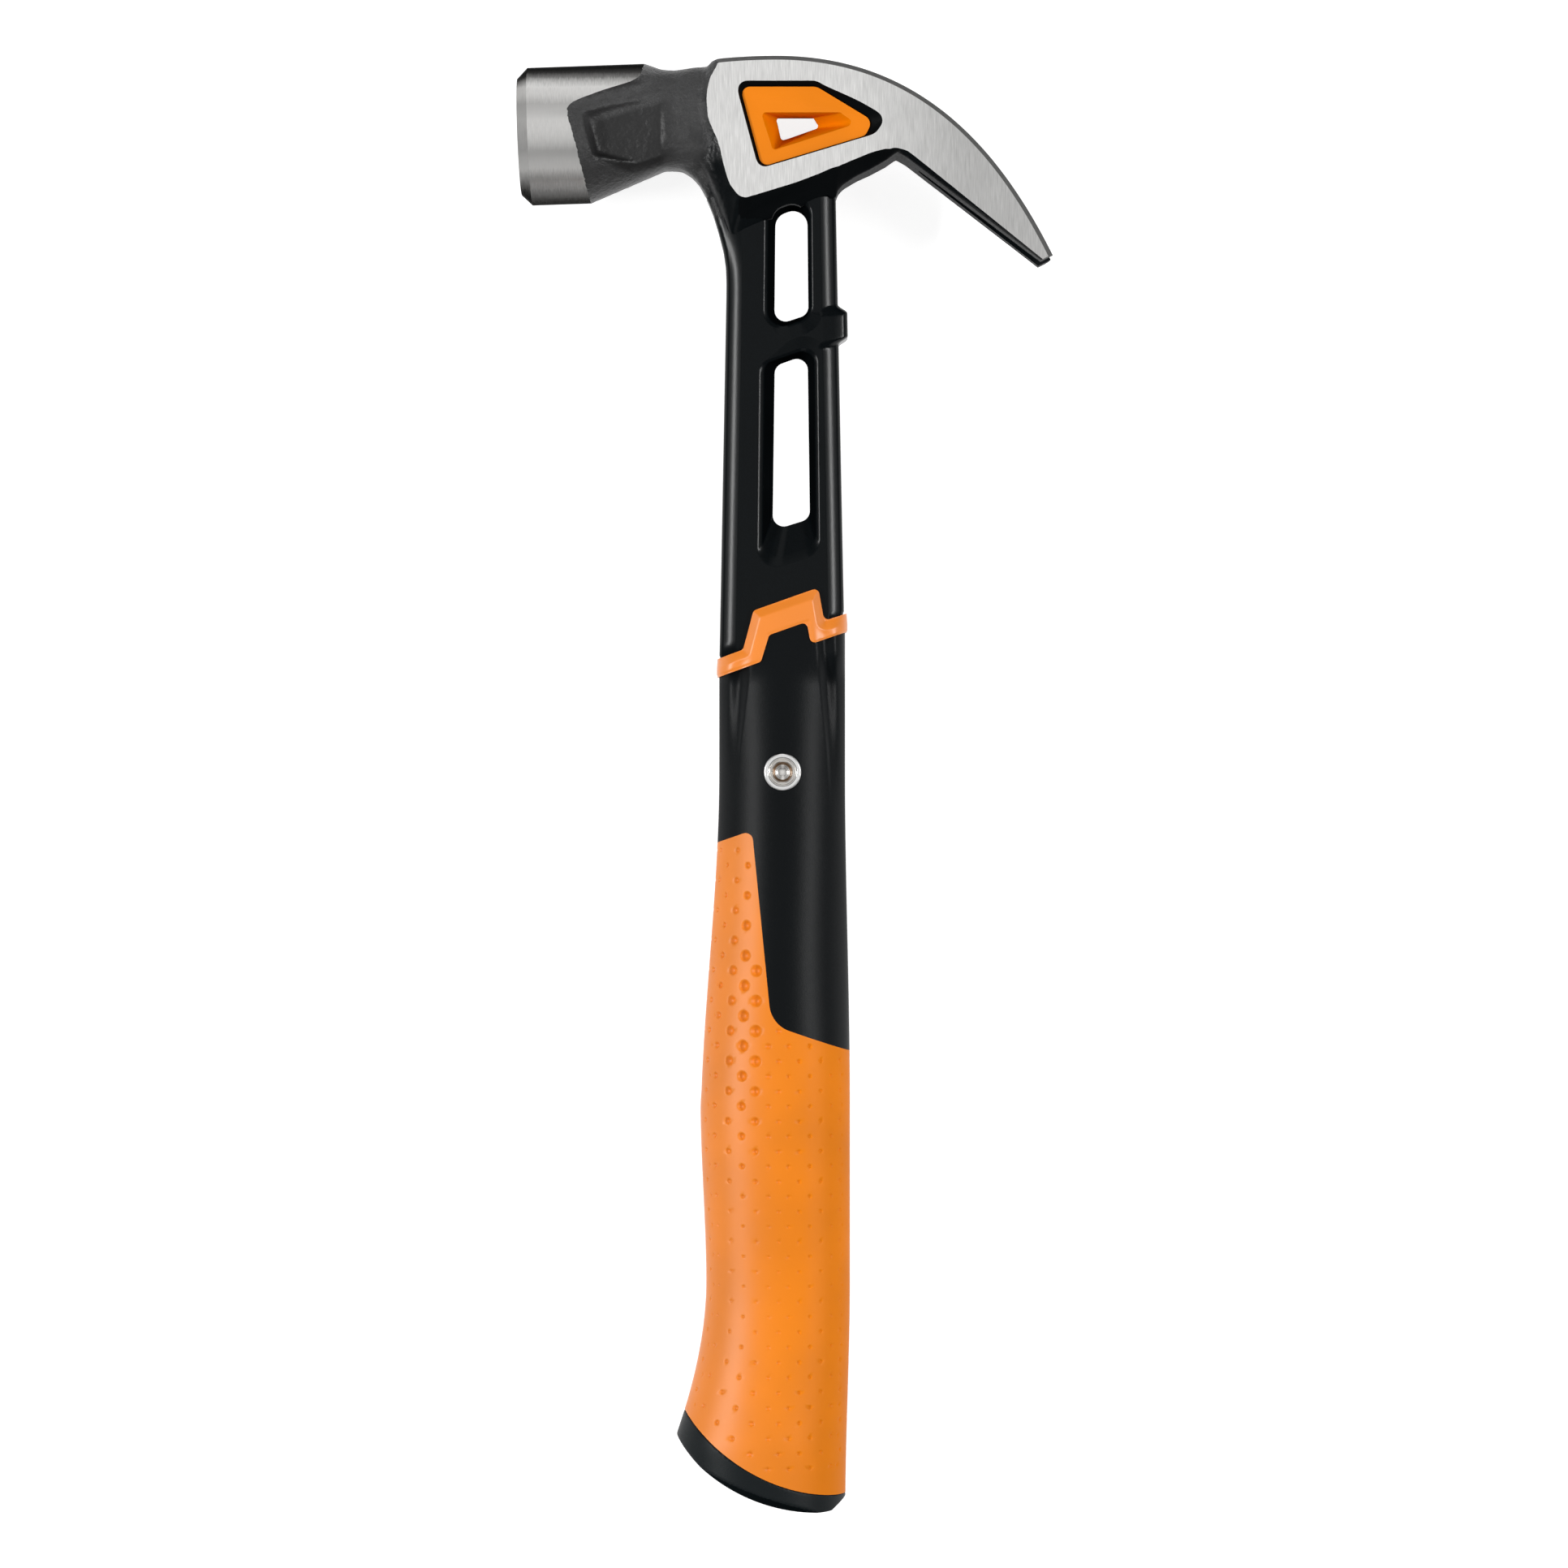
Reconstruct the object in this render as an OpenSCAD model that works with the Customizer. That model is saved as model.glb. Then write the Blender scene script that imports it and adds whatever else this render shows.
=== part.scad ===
// Curved claw hammer. The head, the slotted shaft and the tang are one forging,
// a moulding fills the window of the head, and a sleeve keeps the tang apart from
// the riveted handle. The hammer lies on its side: X runs from the striking face
// to the claw, Y from the butt to the head, and Z is up.

/* [Overall] */
// Length from the butt to the top of the head
overall_len = 391.4; // [388:0.2:420]
// Slant of the slot ends, the belt, the collar and the grip's edge, in degrees
slant = 19.5; // [16:0.5:22]

/* [Poll and neck] */
// Diameter of the turned poll
poll_d = 37; // [36:0.25:38.5]
// Distance from the shaft's axis to the middle of the striking face
face_reach = 71.4; // [68:0.2:76]
// Depth of the poll's axis below the top of the head, at the face
poll_drop = 21.2; // [20:0.1:22]
// Bevel round the striking face
face_bevel = 2.8; // [1:0.2:4]
// Tilt of the striking face towards the grip, in degrees
face_tilt = 2; // [0:0.5:3]
// Turned length at the sides of the poll
turned_side = 13.4; // [11:0.2:16]
// Turned length along the underside of the poll
turned_low = 18.6; // [17:0.2:22]
// Turned length along the top of the poll
turned_top = 34.4; // [30:0.2:36]
// Thickness of the neck
neck_t = 20.6; // [19:0.2:21.4]
// Depth of the neck's underside below the poll's axis
neck_low = 10.4; // [9:0.2:12]
// Height of the neck's saddle above the poll's axis
neck_high = 16.4; // [15.4:0.2:17.2]
// Depth of the panel sunk into each side of the neck
panel_depth = 1.6; // [0.8:0.1:2]

/* [Cheeks and claw] */
// Thickness over the ground cheeks and the claw
cheek_t = 23.4; // [22.8:0.2:26]
// Reach of the cheeks in front of the shaft's axis
cheek_front = 18.5; // [17.5:0.25:20]
// Bevel along the top edges of the cheeks and the claw
crown_bevel = 1.8; // [1:0.1:2.4]
// Reach of the claw's tip behind the shaft's axis
claw_reach = 72.5; // [68:0.5:78]
// Drop of the claw's tip below the top of the head
claw_drop = 53.7; // [50:0.5:58]
// Steepness of the claw at its tip, in degrees
claw_angle = 63.5; // [58:0.5:68]
// Thickness of the claw's blunt tip
tip_t = 1.5; // [1:0.1:2.4]
// Length of the nail notch along the claw
notch_len = 43; // [38:0.5:46]
// Width of the nail notch at the tip
notch_mouth = 12; // [10:0.25:13]
// Width of the nail notch at its root
notch_root = 3.4; // [2.6:0.2:5]

/* [Window and insert] */
// Width of the window through the head
window_w = 40.8; // [38:0.2:42]
// Height of the window
window_h = 23.7; // [22:0.1:24.2]
// Depth of the moulded insert's face below the ground cheek
insert_sink = 1.2; // [0.6:0.1:2]
// Diameter of the pegs that join the two halves of the insert
peg_d = 2.4; // [1.6:0.2:3]
// Length of the pegs
peg_len = 3; // [2:0.25:4]

/* [Shaft] */
// Thickness of the shaft
shaft_t = 15; // [14:0.25:16]
// Reach of the shaft's front edge at the head
shaft_front = 15.3; // [14.7:0.1:16.6]
// Reach of the shaft's back edge at the head
shaft_back = 14.2; // [13.4:0.1:15.2]
// Radius of the shaft's front and back edges
shaft_round = 5; // [4:0.25:6.5]
// Radius of the throat below the neck
throat_r = 24; // [20:1:28]
// Width of the two slots
slot_w = 8.6; // [6.6:0.2:9.4]
// Share of the slotted length that the upper slot takes
upper_slot_share = 0.41; // [0.35:0.01:0.45]
// Height of the belt between the slots
belt_h = 8.6; // [7:0.2:10]
// Height that the belt stands behind the shaft's back edge
belt_proud = 2.6; // [1.6:0.2:3]
// Distance from the collar to the lower slot
slot_margin = 27; // [24:0.5:32]

/* [Tang and sleeve] */
// Width of the tang below the shoulder
tang_w = 19; // [17:0.5:21]
// Width of the tang at its end
tang_end_w = 13; // [11:0.5:16]
// Thickness of the tang
tang_t = 7; // [6:0.25:8.5]
// Height of the tang's end above the butt
tang_end = 30; // [28:1:60]
// Wall of the sleeve round the tang
sleeve_wall = 1.6; // [1.2:0.1:2]
// Height of the sleeve's collar
collar_h = 5; // [4.4:0.2:6]
// Rise of the collar's middle step
collar_rise = 9.5; // [8.5:0.1:11]
// Height that the collar stands proud of the handle
collar_proud = 0.8; // [0.4:0.1:1.2]

/* [Handle] */
// Height of the collar's lower edge above the butt
handle_len = 230.4; // [228:0.2:238]
// Front reach of the handle below the collar
shank_front = 17.8; // [17.4:0.1:19]
// Back reach of the handle below the collar
shank_back = 16.5; // [16.2:0.1:18]
// Thickness of the handle below the collar
shank_t = 19.6; // [19:0.2:21]
// Thickness of the handle at the rivet
rivet_t = 22.4; // [21.6:0.2:24]
// Front reach of the grip at the palm swell
palm_front = 22.6; // [21:0.2:25]
// Back reach of the grip
grip_back = 17.8; // [17:0.2:19]
// Thickness of the grip at the palm swell
palm_t = 31; // [29:0.5:33]
// Front reach of the grip at the waist
waist_front = 21; // [20:0.2:22.4]
// Thickness of the grip at the waist
waist_t = 29; // [27:0.5:31]
// Front reach of the flared butt
butt_front = 29.6; // [27:0.2:32]
// Thickness of the flared butt
butt_t = 36; // [33:0.5:37]
// Distance from the collar to the front of the grip's edge
grip_toe = 44.4; // [40:0.2:48]
// Distance from the collar to the back of the grip's edge
grip_heel = 100.6; // [92:0.2:104]
// Wall of the soft grip
grip_wall = 3; // [2.4:0.1:3.6]
// Height of the butt cap's seam above the butt
cap_h = 4.1; // [3.6:0.1:6]
// Bevel round the bottom of the butt cap
cap_bevel = 2.8; // [1.6:0.2:3.6]
// Length of the tenon that holds the butt cap
tenon_len = 2.6; // [2:0.2:3]

/* [Rivet] */
// Height of the rivet above the butt
rivet_y = 198.6; // [194:0.2:204]
// Diameter of the rivet's shank
rivet_d = 5.8; // [5:0.1:6.2]
// Diameter of the rivet's head and rolled tail
rivet_head_d = 7.6; // [7:0.1:8.2]
// Diameter of the washers
washer_d = 10; // [9:0.2:11]
// Thickness of the washers
washer_t = 2.2; // [1.8:0.1:2.6]

/* [Hidden] */
$fn = 64;
eps = 0.01;
far = 60;
over = 12;
slope = tan(slant);

poll_r = poll_d / 2;
cheek_half = cheek_t / 2;
neck_half = neck_t / 2;
shaft_half = shaft_t / 2;
tang_half = tang_t / 2;
poll_axis = overall_len - poll_drop;
neck_at = 39;
neck_sides = 48;

mid_z = max(poll_r, butt_t / 2);
face_min = -face_reach - (poll_r - face_bevel) * sin(face_tilt);
mid_x = (face_min + claw_reach) / 2;

// Outer edge of the claw, from the crown to the tip
crown = [-1.9, overall_len];
tip = [claw_reach, overall_len - claw_drop];
claw_lead = 40;
claw_hook = 29.8;
tip_dir = [cos(claw_angle), -sin(claw_angle)];
tip_low = tip + tip_t * [tip_dir[1], -tip_dir[0]];
crown_r = 160;

// Lower edge of the head
heel = [-9.5, overall_len - 48];
throat = [31, overall_len - 26.3];
heel_band = 10.2;
throat_band = 1.6;

// Window of the head: its rim, the wall that holds the insert, and the insert's
// pocket, in shares of the window's width and height from its top left corner
window_at = [-13.2, overall_len - 7.4];
rim = in_window([[0, 0], [0.157, 1], [0.926, 0.6], [1, 0.405], [0.534, 0]]);
rim_radii = [2.4, 2.4, 2.6, 2.6, 4];
wall = in_window([[0.034, 0.063], [0.176, 0.97], [0.858, 0.616], [0.907, 0.447], [0.539, 0.063]]);
wall_radii = [2, 2.2, 2.2, 2.4, 4];
pocket = in_window([[0.172, 0.354], [0.25, 0.785], [0.799, 0.481], [0.696, 0.354]]);
pocket_radii = [1, 1, 1.2, 1.2];
light = in_window([[0.27, 0.363], [0.306, 0.624], [0.559, 0.473], [0.517, 0.363]]);
light_radii = [0.8, 0.8, 0.8, 0.8];
insert_face = cheek_half - insert_sink;
peg_at = in_window([[0.157, 0.422], [0.701, 0.422]]);
peg_fit = 0.1;

// Slots of the shaft
slot_x = 2;
slot_r = 3;
upper_lip = [2.2, 0.4, 1.4, 2];
lower_lip = [3.4, 1.4, 8.2, 0.6];
upper_top = overall_len - 41.6;
lower_low = handle_len + slot_margin + lower_lip[2];
belt_land = [1.6, 1];
slotted = upper_top - lower_low - belt_h - belt_land[0] - belt_land[1];
upper_low = upper_top - upper_slot_share * slotted;
belt_high = upper_low - belt_land[0];
belt_low = belt_high - belt_h;
lower_top = belt_low - belt_land[1];
pocket_floor = 2.2;

// Stepped lower edge of the sleeve's collar, and what follows from it
step_foot = [-6.2, 7.2];
step_head = [-4, 6.1];
step_low = 6.4;
high_foot = [-11, 10.8];
high_head = [-8.2, 9.2];
step_r = 1.4;
shoulder_up = collar_h / 2;
collar_top = handle_len + collar_h + collar_rise;

tang_x = -0.5;
bush_d = rivet_d + 2 * sleeve_wall;
rivet_fit = 0.1;
rivet_x = -0.4;
seat_depth = 1.1;
washer_proud = 0.3;
washer_face = rivet_t / 2 + washer_proud;
washer_floor = washer_face - washer_t;
rivet_seat = washer_face - seat_depth;

// Levels of the handle's named sections
butt_y = 18.4;
waist_y = 60.4;
palm_y = 110.4;
flare_power = 1.8;
cap_r = 46.4;
cap_x = 9;
heel_cut = 38;
cap_top_r = 59.2;
cap_top_x = 19.7;
tenon_inset = 9;
ring_sides = 40;
ring_step = 7;

function unit(v) = v / norm(v);
function mix(a, b, t) = a + (b - a) * t;
function in_window(shares) =
  [for (p = shares) [window_at[0] + p[0] * window_w, window_at[1] - p[1] * window_h]];
function ease(t) = let (s = min(max(t, 0), 1)) s * s * (3 - 2 * s);
function signed_power(v, p) = sign(v) * pow(abs(v), p);

// Arc that rounds the corner b between a and c
function corner(a, b, c, r, n) =
  let (
    u = unit(a - b),
    w = unit(c - b),
    half = acos(u * w) / 2,
    turn = cross(b - a, c - b) > 0 ? 1 : -1,
    centre = b + unit(u + w) * r / sin(half),
    first = b + u * r / tan(half) - centre,
    start = atan2(first[1], first[0]),
    sweep = turn * (180 - 2 * half)
  )
  [for (i = [0 : n]) centre + r * [cos(start + sweep * i / n), sin(start + sweep * i / n)]];

// Outline with its corners rounded by their own radii
function rounded(pts, radii, n = 5) =
  let (m = len(pts))
  [for (i = [0 : m - 1])
    each corner(pts[(i + m - 1) % m], pts[i], pts[(i + 1) % m], radii[i], n)];

function bezier(a, b, c, d, t) =
  let (s = 1 - t)
  s * s * s * a + 3 * s * s * t * b + 3 * s * t * t * c + t * t * t * d;

// Solid lofted through rings of points
module loft(rings) {
  n = len(rings[0]);
  last = (len(rings) - 1) * n;
  sides = [for (i = [0 : len(rings) - 2], j = [0 : n - 1], k = [0, 1])
    let (a = i * n + j, b = i * n + (j + 1) % n)
    k == 0 ? [a, b, b + n] : [a, b + n, a + n]];
  first_cap = [for (j = [1 : n - 2]) [0, j + 1, j]];
  last_cap = [for (j = [1 : n - 2]) [last, last + j, last + j + 1]];
  polyhedron(
    points = [for (ring = rings) each ring],
    faces = concat(sides, first_cap, last_cap)
  );
}

// Drafted solid between two outlines, the first at the higher level
module draft(high, z_high, low, z_low) {
  loft([
    [for (p = high) [p[0], p[1], z_high]],
    [for (p = low) [p[0], p[1], z_low]]
  ]);
}

module slab(half) {
  translate([0, 0, -half])
    linear_extrude(2 * half)
      children();
}

module both_sides() {
  children();
  mirror([0, 0, 1])
    children();
}

module place() {
  translate([-mid_x, -overall_len / 2, mid_z])
    children();
}

// Poll and neck, in the frame of the poll's axis

function turned_to(v) =
  let (rise = (v / poll_r - 0.37) / 0.63, fall = -v / poll_r)
  v > 0
    ? mix(turned_side, turned_top, max(rise, 0))
    : mix(turned_side, turned_low, fall);

function poll_ring(r, u) =
  [for (i = [0 : neck_sides - 1])
    let (a = 360 * i / neck_sides)
    [u, r * sin(a), r * cos(a)]];

function turned_edge() =
  [for (i = [0 : neck_sides - 1])
    let (a = 360 * i / neck_sides, r = poll_r - 0.15)
    [turned_to(r * sin(a)), r * sin(a), r * cos(a)]];

function neck_ring(u, high, low, half, power) =
  [for (i = [0 : neck_sides - 1])
    let (a = 360 * i / neck_sides)
    [
      u,
      (high - low) / 2 + (high + low) / 2 * signed_power(sin(a), 2 / power),
      half * signed_power(cos(a), 2 / power)
    ]];

module poll_frame() {
  translate([-face_reach, poll_axis, 0])
    rotate([0, 0, face_tilt])
      children();
}

module poll() {
  body = turned_side - 1;
  poll_frame() {
    rotate([0, 90, 0])
      rotate_extrude()
        polygon([
          [0, 0], [poll_r - face_bevel, 0], [poll_r, face_bevel], [poll_r, body], [0, body]
        ]);
    loft([
      poll_ring(poll_r - 0.15, body - 3),
      turned_edge(),
      neck_ring(neck_at, neck_high + 0.4, neck_low, neck_half, 3),
      neck_ring(neck_at + 7, neck_high - 0.2, neck_low + 0.4, neck_half, 3.6),
      neck_ring(neck_at + 17, neck_high - 1, neck_low, neck_half - 1, 4)
    ]);
  }
}

// Panel sunk into one side of the neck, which runs out level with the neck
module neck_panel() {
  start = 17.4;
  edge_half = mix(poll_r, neck_half, (start - turned_side) / (neck_at - turned_side));
  lean = atan((edge_half - panel_depth - neck_half) / (neck_at - start));
  outline = [[start, 4.4], [20.2, -7.4], [33.4, -10.2], [41, -10.2], [41, 9.4], [36.3, 9], [24.4, 6.2]];
  poll_frame()
    translate([neck_at, 0, neck_half])
      rotate([0, lean, 0])
        translate([-neck_at, 0, 0])
          linear_extrude(far)
            polygon(rounded(outline, [1.6, 1.6, 2, 0.5, 0.5, 3, 3]));
}

// Cheeks and claw, lofted from the neck to the claw's tip

function crown_at(x) = [x, overall_len - pow(x - crown[0], 2) / (2 * crown_r)];

function claw_top(t) =
  bezier(crown, crown + [claw_lead, 0], tip - claw_hook * tip_dir, tip, t);

function head_ring(high, low, half, bevel, high_half, band, low_half) =
  let (
    run = unit(low - high),
    a = high + run * bevel,
    b = low - run * band
  )
  [
    [b[0], b[1], half], [a[0], a[1], half],
    [high[0], high[1], high_half], [high[0], high[1], -high_half],
    [a[0], a[1], -half], [b[0], b[1], -half],
    [low[0], low[1], -low_half], [low[0], low[1], low_half]
  ];

function ground_ring(high, low, band, low_half) =
  let (most = norm(low - high) * 0.4, bevel = min(crown_bevel, most))
  head_ring(high, low, cheek_half, bevel, cheek_half - bevel, min(band, most), low_half);

module cheeks_and_claw() {
  cheek_steps = 6;
  claw_steps = 14;
  root = 0.28;
  saddle = poll_axis + neck_high + 1;
  claw_low_half = cheek_half - 1.4;
  loft(concat(
    [
      head_ring([-28, saddle - 1], [-25.6, poll_axis - neck_low + 1.2],
        neck_half - 0.4, 6, 5, 5, 6),
      head_ring([-cheek_front - 5.4, saddle], [-20.4, heel[1] + 11],
        neck_half, 5, 6, 6, 6),
      head_ring([-cheek_front - 2.6, saddle + 0.8], [-16.4, heel[1] + 1.4],
        neck_half + 0.5, 3.6, neck_half - 2, 9, 5.6)
    ],
    [for (i = [0 : cheek_steps - 1])
      let (
        s = i / cheek_steps,
        high = s < 0.4
          ? crown_at(mix(-cheek_front, crown[0], s / 0.4))
          : claw_top(root * (s - 0.4) / 0.6)
      )
      ground_ring(high, mix(heel, throat, s), mix(heel_band, throat_band, s),
        mix(shaft_half - 0.5, claw_low_half, pow(s, 3)))],
    [for (i = [0 : claw_steps])
      let (s = i / claw_steps)
      ground_ring(claw_top(mix(root, 1, s)), mix(throat, tip_low, s),
        throat_band - 0.4, claw_low_half)]
  ));
}

// Tapered nail notch through the claw, from the tip to its root
module nail_notch() {
  run = unit(tip_low - throat);
  lead = 6;
  mouth = notch_mouth / 2 + lead * (notch_mouth - notch_root) / 2 / notch_len;
  translate([tip[0], tip[1], 0])
    rotate([0, 0, atan2(run[1], run[0])])
      rotate([90, 0, 0])
        translate([0, 0, -far])
          linear_extrude(2 * far)
            polygon(rounded(
              [
                [lead, mouth], [-notch_len, notch_root / 2],
                [-notch_len, -notch_root / 2], [lead, -mouth]
              ],
              [0.5, notch_root * 0.45, notch_root * 0.45, 0.5]
            ));
}

module head_window() {
  slab(far)
    polygon(rounded(wall, wall_radii));
  both_sides()
    draft(rounded(rim, rim_radii), cheek_half + eps, rounded(wall, wall_radii), insert_face - 0.4);
}

// Shaft

function shaft_at(y) = (y - handle_len) / (overall_len - 50 - handle_len);
function throat_flare(y) = min(pow(max(y - (overall_len - 56), 0), 2) / (2 * throat_r), 7);
function shaft_front_at(y) = mix(shank_front - 0.4, shaft_front, shaft_at(y)) + throat_flare(y);
function shaft_back_at(y) = mix(shank_back - 0.1, shaft_back, shaft_at(y));

// Section of the shaft, flat at the sides and round at its corners
function shaft_ring(y, front, back) =
  let (r = shaft_round, n = 6, out = [1, -1, -1, 1], up = [1, 1, -1, -1])
  [for (q = [0 : 3], i = [0 : n])
    let (a = 90 * (q + i / n))
    [
      (out[q] > 0 ? back - r : r - front) + r * cos(a),
      y,
      up[q] * (shaft_half - r) + r * sin(a)
    ]];

module shaft_blank() {
  low = handle_len - over;
  rise = 4;
  flared = 6;
  levels = concat([low], [for (i = [0 : flared]) overall_len - 56 + rise * i]);
  loft([for (y = levels) shaft_ring(y, shaft_front_at(y), shaft_back_at(y))]);
}

// Slanted outline between two heights on the shaft's axis, wider at its foot
function slanted(left, right, low, high, spread) =
  [
    [left, high + slope * left], [left - spread, low + slope * left],
    [right + spread, low + slope * right], [right, high + slope * right]
  ];

module belt() {
  ramp = 1.8;
  back = shaft_back_at(belt_low) + belt_proud;
  edge = back - belt_proud - 0.8;
  outline = [
    [0, belt_high], [0, belt_low], [edge, belt_low + slope * edge - ramp],
    [back, belt_low + slope * back], [back, belt_high + slope * back],
    [edge, belt_high + slope * edge + ramp]
  ];
  intersection() {
    loft([for (y = [belt_low - over, belt_high + over]) shaft_ring(y, 4, back)]);
    slab(far)
      polygon(rounded(outline, [0.5, 0.5, 3, 2, 2, 3]));
  }
}

module shaft_slot(left, right, low, high, spread, lip) {
  radii = [slot_r, slot_r, slot_r, slot_r];
  hole = rounded(slanted(left, right, low, high, spread), radii);
  mouth = rounded(
    slanted(left - lip[0], right + lip[1], low - lip[2], high + lip[3], spread),
    radii
  );
  slab(far)
    polygon(hole);
  both_sides()
    draft(mouth, shaft_half + eps, hole, pocket_floor);
}

module shaft_slots() {
  left = slot_x - slot_w / 2;
  right = slot_x + slot_w / 2;
  shaft_slot(left, right, upper_low, upper_top, 0.3, upper_lip);
  shaft_slot(left - 0.2, right + 0.1, lower_low, lower_top, 0.6, lower_lip);
}

// Line across the handle that steps up in the middle
function stepped(base, foot, head, rise) =
  [
    [-far, base - slope * far], [foot[0], base + slope * foot[0]],
    [head[0], base + rise + slope * head[0]], [head[1], base + rise + slope * head[1]],
    [foot[1], base + slope * foot[1]], [far, base + slope * far]
  ];

collar_low_line = stepped(handle_len, step_foot, step_head, step_low);
shoulder_line = stepped(
  handle_len + shoulder_up,
  mix(step_foot, high_foot, 0.5),
  mix(step_head, high_head, 0.5),
  mix(step_low, collar_rise, 0.5)
);
collar_high_line = stepped(handle_len + collar_h, high_foot, high_head, collar_rise);

module below(line, r) {
  polygon(rounded(
    concat([[-far, -far], [far, -far]], [for (i = [len(line) - 1 : -1 : 0]) line[i]]),
    [1, 1, 1, r, r, r, r, 1]
  ));
}

function tang_outline(grow, low) =
  let (top = tang_w / 2 + grow, end = tang_end_w / 2 + grow)
  [
    [tang_x - top, handle_len + over], [tang_x - end, low],
    [tang_x + end, low], [tang_x + top, handle_len + over]
  ];

module tang_solid(grow, low, corner_r) {
  slab(tang_half + grow)
    polygon(rounded(tang_outline(grow, low), [0.5, corner_r, corner_r, 0.5]));
}

module rivet_hole(d) {
  translate([rivet_x, rivet_y, -far])
    cylinder(d = d, h = 2 * far);
}

module head_forging() {
  color("#5a5d60")
    place()
      difference() {
        union() {
          poll();
          cheeks_and_claw();
          difference() {
            union() {
              shaft_blank();
              belt();
            }
            slab(far)
              below(shoulder_line, step_r);
          }
          tang_solid(0, tang_end, 4);
        }
        both_sides()
          neck_panel();
        nail_notch();
        head_window();
        shaft_slots();
        rivet_hole(bush_d);
      }
}

// One half of the moulding in the window, on the upper side
module insert_half() {
  difference() {
    linear_extrude(insert_face)
      polygon(rounded(wall, wall_radii));
    draft(rounded(pocket, pocket_radii), insert_face + eps, rounded(light, light_radii), -eps);
  }
}

module head_insert_near() {
  color("#f08a24")
    place()
      union() {
        insert_half();
        for (p = peg_at)
          translate([p[0], p[1], -peg_len])
            cylinder(d = peg_d, h = peg_len + 1);
      }
}

module head_insert_far() {
  color("#f08a24")
    place()
      difference() {
        mirror([0, 0, 1])
          insert_half();
        for (p = peg_at)
          translate([p[0], p[1], -peg_len - peg_fit])
            cylinder(d = peg_d + peg_fit, h = peg_len + 1);
      }
}

// Handle: one shape, from which the core, the grip and the butt cap are cut

function front_at(y) =
  y < waist_y
    ? mix(waist_front, butt_front, pow(min((waist_y - y) / (waist_y - butt_y), 1), flare_power))
    : y < palm_y
      ? mix(waist_front, palm_front, ease((y - waist_y) / (palm_y - waist_y)))
      : mix(palm_front, shank_front, ease((y - palm_y + 12) / (rivet_y - palm_y + 12)));

function back_at(y) =
  y < waist_y
    ? mix(grip_back - 1.2, grip_back, ease(y / waist_y))
    : mix(grip_back, shank_back, ease((y - palm_y) / (rivet_y - palm_y)));

function half_at(y) =
  (y < waist_y
    ? mix(waist_t, butt_t, pow(min((waist_y - y) / (waist_y - butt_y), 1), flare_power))
    : y < palm_y
      ? mix(waist_t, palm_t, ease((y - waist_y) / (palm_y - waist_y)))
      : y < rivet_y
        ? mix(palm_t, rivet_t, ease((y - palm_y) / (rivet_y - palm_y)))
        : mix(rivet_t, shank_t, ease((y - rivet_y) / (handle_len - rivet_y)))) / 2;

function roundness_at(y) = mix(2.4, 3.2, ease((y - palm_y) / (handle_len - palm_y)));

function handle_ring(y, inset) =
  let (
    front = front_at(y) - inset,
    back = back_at(y) - inset,
    half = half_at(y) - inset,
    p = 2 / roundness_at(y)
  )
  [for (i = [0 : ring_sides - 1])
    let (a = 360 * i / ring_sides)
    [
      (back - front) / 2 + (back + front) / 2 * signed_power(cos(a), p),
      y,
      half * signed_power(sin(a), p)
    ]];

module handle_blank(low, high, inset = 0) {
  steps = max(ceil((high - low) / ring_step), 1);
  loft([for (i = [0 : steps]) handle_ring(mix(low, high, i / steps), inset)]);
}

// Area that the soft grip covers, seen from the side
module grip_area() {
  toe = handle_len - grip_toe;
  heel_y = handle_len - grip_heel;
  polygon(rounded(
    [
      [-far, toe - slope * far], [-8.6, toe - slope * 8.6], [-3.4, heel_y + slope * 3.4],
      [far, heel_y - slope * far], [far, -far], [-far, -far]
    ],
    [1, 2, 8, 1, 1, 1]
  ));
}

// Area above the arc that parts the handle from the butt cap
module above_cap(drop) {
  arc_y = cap_h + cap_top_r - drop;
  translate([-far, arc_y])
    square([2 * far, overall_len]);
  translate([cap_top_x, arc_y])
    circle(r = cap_top_r, $fn = 180);
}

// Envelope that gives the butt its round bottom, its bevelled edges and its cut heel
function butt_outline(lift) =
  let (
    n = 24,
    last = 273,
    end = [cap_x + cap_r * cos(last), cap_r + lift + cap_r * sin(last)]
  )
  concat(
    [for (i = [0 : n])
      let (a = mix(205, last, i / n))
      [cap_x + cap_r * cos(a), cap_r + lift + cap_r * sin(a)]],
    [[far, end[1] + (far - end[0]) * tan(heel_cut)], [far, 2 * far], [-far, 2 * far]]
  );

module butt_envelope() {
  half = butt_t / 2;
  flat = half - 2 * cap_bevel;
  loft([
    [for (p = butt_outline(cap_bevel)) [p[0], p[1], half + eps]],
    [for (p = butt_outline(0)) [p[0], p[1], flat]],
    [for (p = butt_outline(0)) [p[0], p[1], -flat]],
    [for (p = butt_outline(cap_bevel)) [p[0], p[1], -half - eps]]
  ]);
}

module sleeve_space() {
  tang_solid(sleeve_wall, tang_end - sleeve_wall, 5);
}

module insulation_sleeve() {
  color("#f08a24")
    place()
      difference() {
        union() {
          sleeve_space();
          intersection() {
            handle_blank(handle_len - over, collar_top + over, -collar_proud);
            slab(far)
              difference() {
                below(collar_high_line, step_r);
                below(collar_low_line, step_r);
              }
          }
        }
        difference() {
          shaft_blank();
          slab(far)
            below(shoulder_line, step_r);
        }
        difference() {
          tang_solid(0, tang_end, 4);
          rivet_hole(bush_d);
        }
        rivet_hole(rivet_d + rivet_fit);
      }
}

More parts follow.
